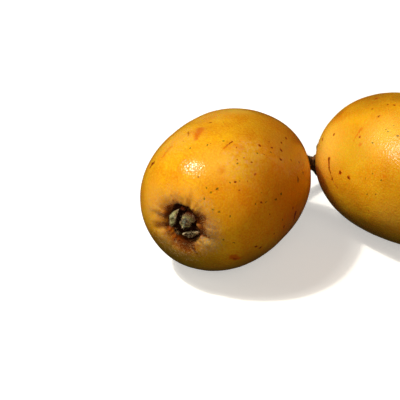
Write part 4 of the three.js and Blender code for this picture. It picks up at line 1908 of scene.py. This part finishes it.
@dataclass
class Stalk:
    """The main stalk, its fork, the pedicels, and stubs of stalks that bore no fruit."""

    fruits: tuple[Fruit, ...]
    pedicel_radius: float = 1.45
    collar_radius: float = 2.1
    collar_at: float = 1.2
    collar_share: float = 0.05
    sink: float = 3.0
    gap: float = 0.3
    straight: float = 3.5
    bend: float = 0.4
    fork_swell: float = 0.5
    fork_share: float = 0.2
    radius: float = 2.2
    end_radius: float = 2.7
    start: Point = (25.7, 33.6, 4.7)  # from the left fruit's centre on the plan
    fork: Point = (26.0, 35.1, 4.3)
    middle: Point = (28.4, 45.2, 3.2)
    end: Point = (33.4, 56.4, 2.3)
    cut_slant: float = 18.0
    cut_back: float = 1.2
    knuckles: tuple[float, ...] = (0.3, 0.62)
    knuckle_swell: float = 0.45
    knuckle_share: float = 0.06
    stubs: tuple[Point, ...] = ((0.08, 20, 6.0), (0.33, 250, 4.4), (0.66, 80, 4.8))
    stub_radius: float = 0.95
    stub_waist: float = 0.3
    stub_lean: float = 0.7
    stalk_mesh: tuple[int, int] = (120, 40)  # rings, and sides
    pedicel_mesh: tuple[int, int] = (110, 30)
    stub_mesh: tuple[int, int] = (40, 22)
    voxel: float = 0.24
    softening: int = 4
    bark_ridges: tuple[Layer, ...] = (Layer(1.6, 0.2, 0.12), Layer(0.55, 4.2, 0.07))
    wool_thinning: Layer = Layer(3.0, 9.9, 0.45)
    wool_from_cut: float = 0.2
    wool: Wool = Wool(number=6500, length=(0.3, 0.8), thickness=0.035, lean=1.5, seed=31)
    finish: BarkFinish = BarkFinish()
    wool_finish: HairFinish = HairFinish("b98a58", "6a4526")

    def build(self) -> None:
        """Builds the stalk and its wool, and dresses both."""
        corner = self.fruits[0].origin * np.array([1, 1, 0])
        main = Route([np.array(p) + corner for p in (self.start, self.fork, self.middle, self.end)])
        body = Solid()
        rings, sides = self.stalk_mesh
        shares = np.linspace(0, 1, rings)
        radii = self.radius + (self.end_radius - self.radius) * shares
        for knuckle in self.knuckles:
            radii = radii + self.knuckle_swell * bell((shares - knuckle) / self.knuckle_share)
        body.add_loft(tube_rings(main, radii, sides))
        for fruit in self.fruits:
            self._pedicel(body, fruit, np.array(self.fork) + corner)
        for along, side, long in self.stubs:
            self._stub(body, main, along, side, long)
        slant = math.radians(self.cut_slant)
        back = np.array([0, self.cut_back, 0])
        normal = np.array([-math.sin(slant), math.cos(slant), 0.0])
        cut = Cut(np.array(self.end) + corner - back, normal)
        piece = self._fuse(body, cut)
        dress(piece, self.finish.build(cut), "stalk")
        hairs = self.wool.grow("stalk_wool", piece, lambda points: self.wool_density(points, cut))
        dress(hairs, self.wool_finish.build("stalk wool"))

    def wool_density(self, points: Array, cut: Cut) -> Array:
        """How thickly wool stands: unevenly, and not on the cut.

        Args:
            points: n by 3, in millimetres.
            cut: the face without wool.

        Returns:
            n values from 0 to 1.
        """
        off = (points - cut.point) @ cut.normal
        thick = 1 - self.wool_thinning.weight + roughness_at(points, self.wool_thinning)
        return np.where(off < -self.wool_from_cut, thick, 0.0)

    def _pedicel(self, body: Solid, fruit: Fruit, fork: Array) -> None:
        """Adds one fruit's stalk, from inside its stem end to the fork.

        Args:
            body: takes the pedicel.
            fruit: whose stalk it is.
            fork: where it meets the main stalk.
        """
        seat = fruit.form.stem_half - fruit.form.dimple_depth
        above = (self.gap - self.sink, self.gap, self.straight, 1.6 * self.straight)
        points = fruit.to_row(np.array([(0, 0, seat + height) for height in above]))
        points[3] += (fork - points[3]) * self.bend
        route = Route([*points, fork])
        rings, sides = self.pedicel_mesh
        shares = np.linspace(0, 1, rings)
        collar = (self.sink - self.gap + self.collar_at) / route.length
        swell = (self.collar_radius - self.pedicel_radius) * bell((shares - collar) / self.collar_share)
        forked = self.fork_swell * np.maximum(0, 1 - (1 - shares) / self.fork_share)
        body.add_loft(tube_rings(route, self.pedicel_radius + swell + forked, sides))

    def _stub(self, body: Solid, main: Route, along: float, side: float, long: float) -> None:
        """Adds the stub of a stalk that bore no fruit, with a flared scar at its tip.

        Args:
            body: takes the stub.
            main: the main stalk's middle.
            along: share of the main stalk at which it stands.
            side: degrees round the main stalk, from the top.
            long: its length.
        """
        root, forward = main.at(along), -main.towards(along)
        turn = Matrix.Rotation(math.radians(side), 3, Vector(forward))
        lean = np.array(turn @ Vector((0, 0, 1))) + forward * self.stub_lean
        lean /= np.linalg.norm(lean)
        route = Route([root, root + lean * long / 2, root + lean * long])
        rings, sides = self.stub_mesh
        waist = self.stub_waist * bell(2 * np.linspace(0, 1, rings) - 1)
        body.add_loft(tube_rings(route, self.stub_radius * (1 - waist), sides))

    def _fuse(self, body: Solid, cut: Cut) -> Piece:
        """Grows the tubes together, roughens their bark, cuts the end and rests it on the floor.

        Args:
            body: the tubes.
            cut: the face to leave at the end.

        Returns:
            The stalk.
        """
        loose = body.to_object("stalk_loose")
        remesh = loose.modifiers.new("fuse", "REMESH")
        remesh.mode = "VOXEL"
        remesh.voxel_size = self.voxel * MM
        smooth = loose.modifiers.new("soften", "SMOOTH")
        smooth.iterations = self.softening
        evaluated = loose.evaluated_get(bpy.context.evaluated_depsgraph_get())
        mesh = bpy.data.meshes.new_from_object(evaluated)
        bpy.data.objects.remove(loose)
        points = read(mesh, "vertices", "co") / MM
        ridges = roughness_at(points, *self.bark_ridges)
        points += read(mesh, "vertices", "normal") * ridges[:, None]
        points[:, 2] = np.maximum(points[:, 2], 0.0)
        mesh.vertices.foreach_set("co", (points * MM).ravel())
        work = bmesh.new()
        work.from_mesh(mesh)
        everything = [*work.verts, *work.edges, *work.faces]
        plane = {"plane_co": Vector(cut.point * MM), "plane_no": Vector(cut.normal)}
        found = bmesh.ops.bisect_plane(work, geom=everything, clear_outer=True, **plane)["geom_cut"]
        rim = [edge for edge in found if isinstance(edge, bmesh.types.BMEdge)]
        bmesh.ops.contextual_create(work, geom=rim)
        most_corners = 7  # of a face of the bark, so the face with more is the cut
        for polygon in work.faces:
            polygon.smooth = len(polygon.verts) <= most_corners
        work.to_mesh(mesh)
        work.free()
        mesh.name = "stalk_bark"
        return add_object("stalk_bark", mesh)


# ---- the cluster ----


LEFT_MARKS: Marks = {
    # the mark at (212, 162) is painted light beside the highlight
    Tone.STRAW_AND_HIGHLIGHT: (
        Mark((285, 148), 3.6, 0.3, 0.95), Mark((212, 162), 4.0, 0.4, 0.95),
        Mark((236, 110), 3.2, 0.75, 0.9),
    ),
    Tone.UNRIPE: (Mark((180, 263), 6.0, 0.5, 0.95),),
    Tone.AMBER: (Mark((238, 205), 6.0, 0.3, 0.95), Mark((292, 192), 8.0, 0.6, 0.95)),
    # the marks at (270, 134) and (262, 172) are painted shade on the fruit's right side
    Tone.UMBER_AND_SHADE: (
        Mark((250, 259), 4.0, 0.5, 0.95), Mark((270, 134), 6.0, 0.35, 0.95),
        Mark((262, 172), 5.0, 0.3, 0.95),
    ),
    Tone.PALE: (
        Mark((236, 164), 4.4, 0.9, 0.7), Mark((247, 172), 3.2, 0.6, 0.8), Mark((251, 153), 4.2, 0.85, 0.8),
        Mark((281, 162), 3.0, 0.75, 0.8),
    ),
    # painted light round the eye's basin and on the fruit's left side
    Tone.GLOW: (
        Mark((186, 198), 3.2, 0.85, 0.9), Mark((201, 212), 1.5, 0.7, 0.9), Mark((174, 194), 2.6, 0.5, 0.9),
        Mark((151, 195), 3.6, 0.6, 0.9), Mark((148, 204), 5.0, 0.4, 0.95),
    ),
    Tone.DOWN: (
        Mark((177, 138), 5.0, 0.4, 0.95), Mark((208, 116), 4.4, 0.35, 0.95),
        Mark((208, 242), 2.8, 0.9, 0.9), Mark((167, 235), 2.2, 0.75, 0.9), Mark((184, 250), 2.4, 0.4, 0.9),
        Mark((155, 206), 3.2, 0.65, 0.9), Mark((172, 199), 2.2, 0.7, 0.9), Mark((203, 206), 1.8, 0.7, 0.8),
    ),
    Tone.KHAKI: (
        Mark((198.8, 225.3), 1.0, 1.0, 0.8), Mark((201.8, 236), 1.4, 1.0, 0.8),
        Mark((207, 227), 2.5, 0.8, 0.9), Mark((200.5, 226), 1.5, 1.0, 0.8),
        Mark((206, 237), 2.4, 0.75, 0.9),
    ),
    Tone.OLIVE: (
        Mark((173, 251), 3.4, 0.5, 0.95), Mark((190, 257), 3.4, 0.5, 0.95),
        Mark((160, 243), 2.6, 0.3, 0.95), Mark((208, 260), 3.4, 0.3, 0.95),
        Mark((213, 243), 2.6, 0.25, 0.95), Mark((198.7, 224.2), 1.1, 0.6, 0.9),
        Mark((201.2, 235.3), 1.1, 0.55, 0.9),
    ),
    Tone.BURNT: (
        Mark((166, 210), 1.8, 0.42, 1.0, to=(162, 222)),
        Mark((160, 224.5), 1.2, 0.55, 1.0, to=(169, 226)),
        Mark((172, 205), 1.3, 0.5, 1.0, to=(178, 207)),
        Mark((176, 239), 1.6, 0.9, 1.0, to=(192, 246)),
        Mark((172, 230), 1.2, 0.7, 1.0, to=(180, 242)),
        Mark((168, 214), 1.6, 0.8, 1.0, to=(174, 206)),
        Mark((174, 230), 2.2, 0.8, 1.0, to=(194, 241)), Mark((170.5, 227.5), 1.0, 0.85, 0.9),
    ),
    # scorched skin, with painted shade under the lower sepal and in the dark wedge beside the hole
    Tone.SCORCH_AND_SHADE: (
        Mark((180, 242), 1.3, 0.62, 1.0, to=(193, 245)),
        Mark((182, 238), 2.2, 0.75, 1.0, to=(192, 241)), Mark((181, 240.5), 2.2, 0.75, 1.0),
        Mark((186.5, 240), 1.1, 0.9, 0.9), Mark((167, 214), 1.4, 0.5, 1.0, to=(171, 207)),
        Mark((198.3, 219.8), 1.0, 1.0, 0.8), Mark((203, 230), 1.2, 0.75, 0.9),
        Mark((170.2, 227.2), 1.0, 0.65, 0.9), Mark((170, 209.5), 1.3, 1.0, 0.9),
        Mark((168, 213.5), 1.0, 0.9, 0.9), Mark((201.5, 226), 1.7, 0.5, 0.9),
        Mark((201, 218.5), 1.6, 0.8, 0.9), Mark((165.5, 215), 1.0, 0.7, 0.9),
        Mark((169, 224), 1.1, 0.3, 1.0, to=(155, 225.5)), Mark((171, 208.5), 1.0, 0.75, 0.9),
        Mark((177, 205), 0.9, 0.9, 0.8), Mark((175.5, 207), 0.8, 0.5, 1.0, to=(173.5, 201)),
        Mark((190, 209.5), 0.9, 0.9, 0.7), Mark((200, 219), 0.8, 0.9, 0.8),
        Mark((203, 233), 0.8, 0.75, 0.8, to=(209, 237)), Mark((187, 242), 2.6, 0.85, 1.0),
        Mark((191, 243), 0.7, 0.9, 0.8, to=(196, 252.5)), Mark((178, 238), 1.5, 0.7, 0.9),
    ),
    Tone.BLUSH: (
        Mark((200, 129), 1.0, 0.85, 0.7, to=(196, 139)),
        Mark((170, 147.5), 0.6, 0.6, to=(162, 157.5)), Mark((163.7, 155.3), 0.45, 0.7),
        Mark((226, 146.5), 0.3, 0.8, to=(222, 150)),
        Mark((233, 257), 1.0, 0.9, 0.5, to=(239, 258.5)), Mark((240, 147), 1.0, 0.4, 0.9),
        Mark((222, 170), 0.9, 0.4, 0.9),
    ),
    Tone.RUST: (
        Mark((153.8, 162.7), 0.5, 0.7, to=(149.7, 167.8)), Mark((152.2, 163.9), 0.45, 0.9),
        Mark((232.5, 141.5), 0.2, 0.85, to=(227, 145.7)), Mark((235, 259), 0.7, 0.55),
        Mark((235.4, 181.8), 0.28, 1.0), Mark((247.5, 181.5), 0.2, 0.9), Mark((236.7, 147.3), 0.18, 0.7),
        Mark((259.6, 145.6), 0.36, 0.8), Mark((269.2, 141.8), 0.22, 0.6), Mark((272.1, 147.7), 0.28, 0.9),
        Mark((264.1, 154.4), 0.25, 0.8), Mark((281.3, 142.4), 0.34, 0.8), Mark((286.3, 138.3), 0.34, 0.85),
        Mark((281.2, 150.3), 0.42, 1.0), Mark((280.7, 159.3), 0.42, 0.85),
        Mark((290.9, 159.8), 0.34, 0.85), Mark((299.1, 162.2), 0.34, 0.75), Mark((243.7, 157.6), 0.2, 0.8),
        Mark((237.4, 159.5), 0.2, 0.9), Mark((251.7, 162.1), 0.26, 0.8), Mark((239.6, 190.3), 0.2, 0.7),
        Mark((255.2, 174), 0.3, 0.6), Mark((261.4, 202.6), 0.26, 0.95),
        Mark((297.9, 178.5), 0.5, 1.0, to=(298.2, 182)), Mark((303, 172.7), 0.4, 0.8),
        Mark((292.8, 208.1), 0.4, 0.6), Mark((295.5, 213), 0.6, 0.8, to=(294, 220)),
        Mark((284, 226.6), 0.45, 0.6), Mark((274.1, 233.8), 0.3, 0.6), Mark((255.8, 246.7), 0.34, 0.9),
        Mark((260.5, 247.5), 0.4, 0.9), Mark((270.1, 213.9), 0.2, 0.7),
        Mark((188.7, 132), 0.24, 0.7, to=(188.7, 136)), Mark((210.4, 122.5), 0.28, 0.8),
        Mark((224, 122), 0.22, 0.7), Mark((240.4, 128), 0.2, 0.55), Mark((210.4, 143.5), 0.18, 0.6),
        Mark((183.5, 141), 0.18, 0.6),
    ),
    Tone.GREEN: (
        Mark((190.3, 148.3), 0.22, 0.95), Mark((185.3, 149.4), 0.18, 0.8), Mark((181.7, 150.7), 0.16, 0.7),
        Mark((207.6, 144.8), 0.2, 0.8), Mark((198.6, 176.7), 0.2, 0.9), Mark((217.2, 188.8), 0.32, 0.9),
        Mark((206.6, 187.7), 0.2, 0.7), Mark((210.9, 192.5), 0.22, 0.7), Mark((204.7, 198.6), 0.22, 0.9),
        Mark((223.6, 140.8), 0.22, 0.8), Mark((257.1, 153), 0.24, 0.95), Mark((271.1, 152.6), 0.2, 0.9),
        Mark((237.4, 163.2), 0.22, 0.85), Mark((230.5, 182.6), 0.2, 0.8), Mark((239.6, 180.8), 0.18, 0.7),
        Mark((261.4, 193.3), 0.2, 0.8), Mark((281.3, 194.3), 0.24, 0.95), Mark((276, 199.2), 0.28, 1.0),
        Mark((266, 201.9), 0.22, 0.95), Mark((255.6, 204), 0.22, 0.9), Mark((219, 212.3), 0.22, 0.75),
        Mark((213.4, 209.4), 0.2, 0.7), Mark((230.4, 216.5), 0.24, 0.75), Mark((282.7, 219.7), 0.26, 0.9),
        Mark((223.3, 239.6), 0.24, 0.85), Mark((233.9, 242.9), 0.24, 0.8),
    ),
}

RIGHT_MARKS: Marks = {
    # the mark at (386, 133) is a painted highlight, and the one at (326, 148) painted light on the lit
    # side
    Tone.STRAW_AND_HIGHLIGHT: (
        Mark((392, 221), 4.0, 0.3, 0.95), Mark((326, 148), 5.4, 0.85, 0.95),
        Mark((386, 133), 5.0, 0.7, 0.95),
    ),
    Tone.UNRIPE: (Mark((352, 150), 5.0, 0.4, 0.9),),
    Tone.UMBER_AND_SHADE: (
        Mark((340, 113), 1.8, 0.55, 0.9), Mark((397, 98), 2.4, 0.6, 0.9), Mark((374, 98), 5.4, 0.6, 1.0),
        Mark((396, 188), 5.0, 0.3, 1.0),
    ),
    Tone.BLUSH: (
        Mark((361, 129), 0.4, 0.7, to=(353.7, 140.7)), Mark((359.9, 144.5), 0.44, 0.7),
        Mark((383.8, 176.5), 0.4, 0.8), Mark((338, 118), 1.6, 0.4, 0.9, to=(362, 98.5)),
    ),
    Tone.RUST: (
        Mark((328.9, 158.8), 0.46, 0.85, to=(329.1, 168)),
        Mark((329.1, 168), 0.3, 0.75, to=(331.8, 177.5)),
        Mark((332.4, 179), 0.34, 0.95, to=(333, 180.5)),
        Mark((332.5, 180), 0.22, 0.6, to=(338, 189)), Mark((339.9, 172.7), 0.42, 0.9),
        Mark((348.7, 177.7), 0.42, 0.95), Mark((333.9, 134.5), 0.34, 0.8), Mark((322.4, 139.4), 0.5, 0.65),
        Mark((372.4, 108.9), 0.34, 0.85), Mark((378.6, 116.6), 0.36, 0.85),
        Mark((387.8, 104.5), 0.3, 0.75), Mark((394.4, 105), 0.3, 0.95), Mark((376, 98.5), 0.5, 0.6),
        Mark((359.9, 136.8), 0.3, 0.65), Mark((368.5, 210.5), 0.4, 0.4),
    ),
    Tone.GREEN: (
        Mark((372.8, 142.8), 0.22, 0.85), Mark((372.4, 173.8), 0.2, 0.85), Mark((365.5, 178.4), 0.2, 0.7),
        Mark((381.4, 180.3), 0.2, 0.85), Mark((386.2, 129.4), 0.24, 0.7), Mark((393.7, 125.6), 0.2, 0.7),
        Mark((397.4, 136.1), 0.26, 0.9), Mark((388, 131.8), 0.2, 0.7), Mark((367.3, 194.4), 0.2, 0.7),
        Mark((375.4, 194), 0.2, 0.6),
    ),
}

GOLDEN_SKIN = SkinFinish(
    orange="dc8a04",
    gold="f2b818",
    amber_and_shade_share=0.0,
    mottle=0.35,
    # darker from its middle down, as painted shade
    olive_shade_from=0.0,
    roughness=0.28,
    gloss=0.34,
    relief=0.8,
)


def main() -> None:
    """Builds the cluster, the floor, the light and the camera."""
    logging.basicConfig(level=logging.INFO, format="%(message)s")
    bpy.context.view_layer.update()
    view = View()
    left = Fruit("left", heading=24.7, dip=4.5, size=1.0, turn=0.0, marks=LEFT_MARKS)
    right = Fruit(
        "right", heading=-43.6, dip=3.4, size=0.996, turn=195.3, marks=RIGHT_MARKS, finish=GOLDEN_SKIN
    )
    camera = view.place(left.origin)
    view.build(left.origin)
    Studio().build(left.origin)
    for fruit in (left, right):
        fruit.build(view, camera)
        Calyx(fruit).build()
    Stalk((left, right)).build()
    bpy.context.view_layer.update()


if __name__ == "__main__":
    main()
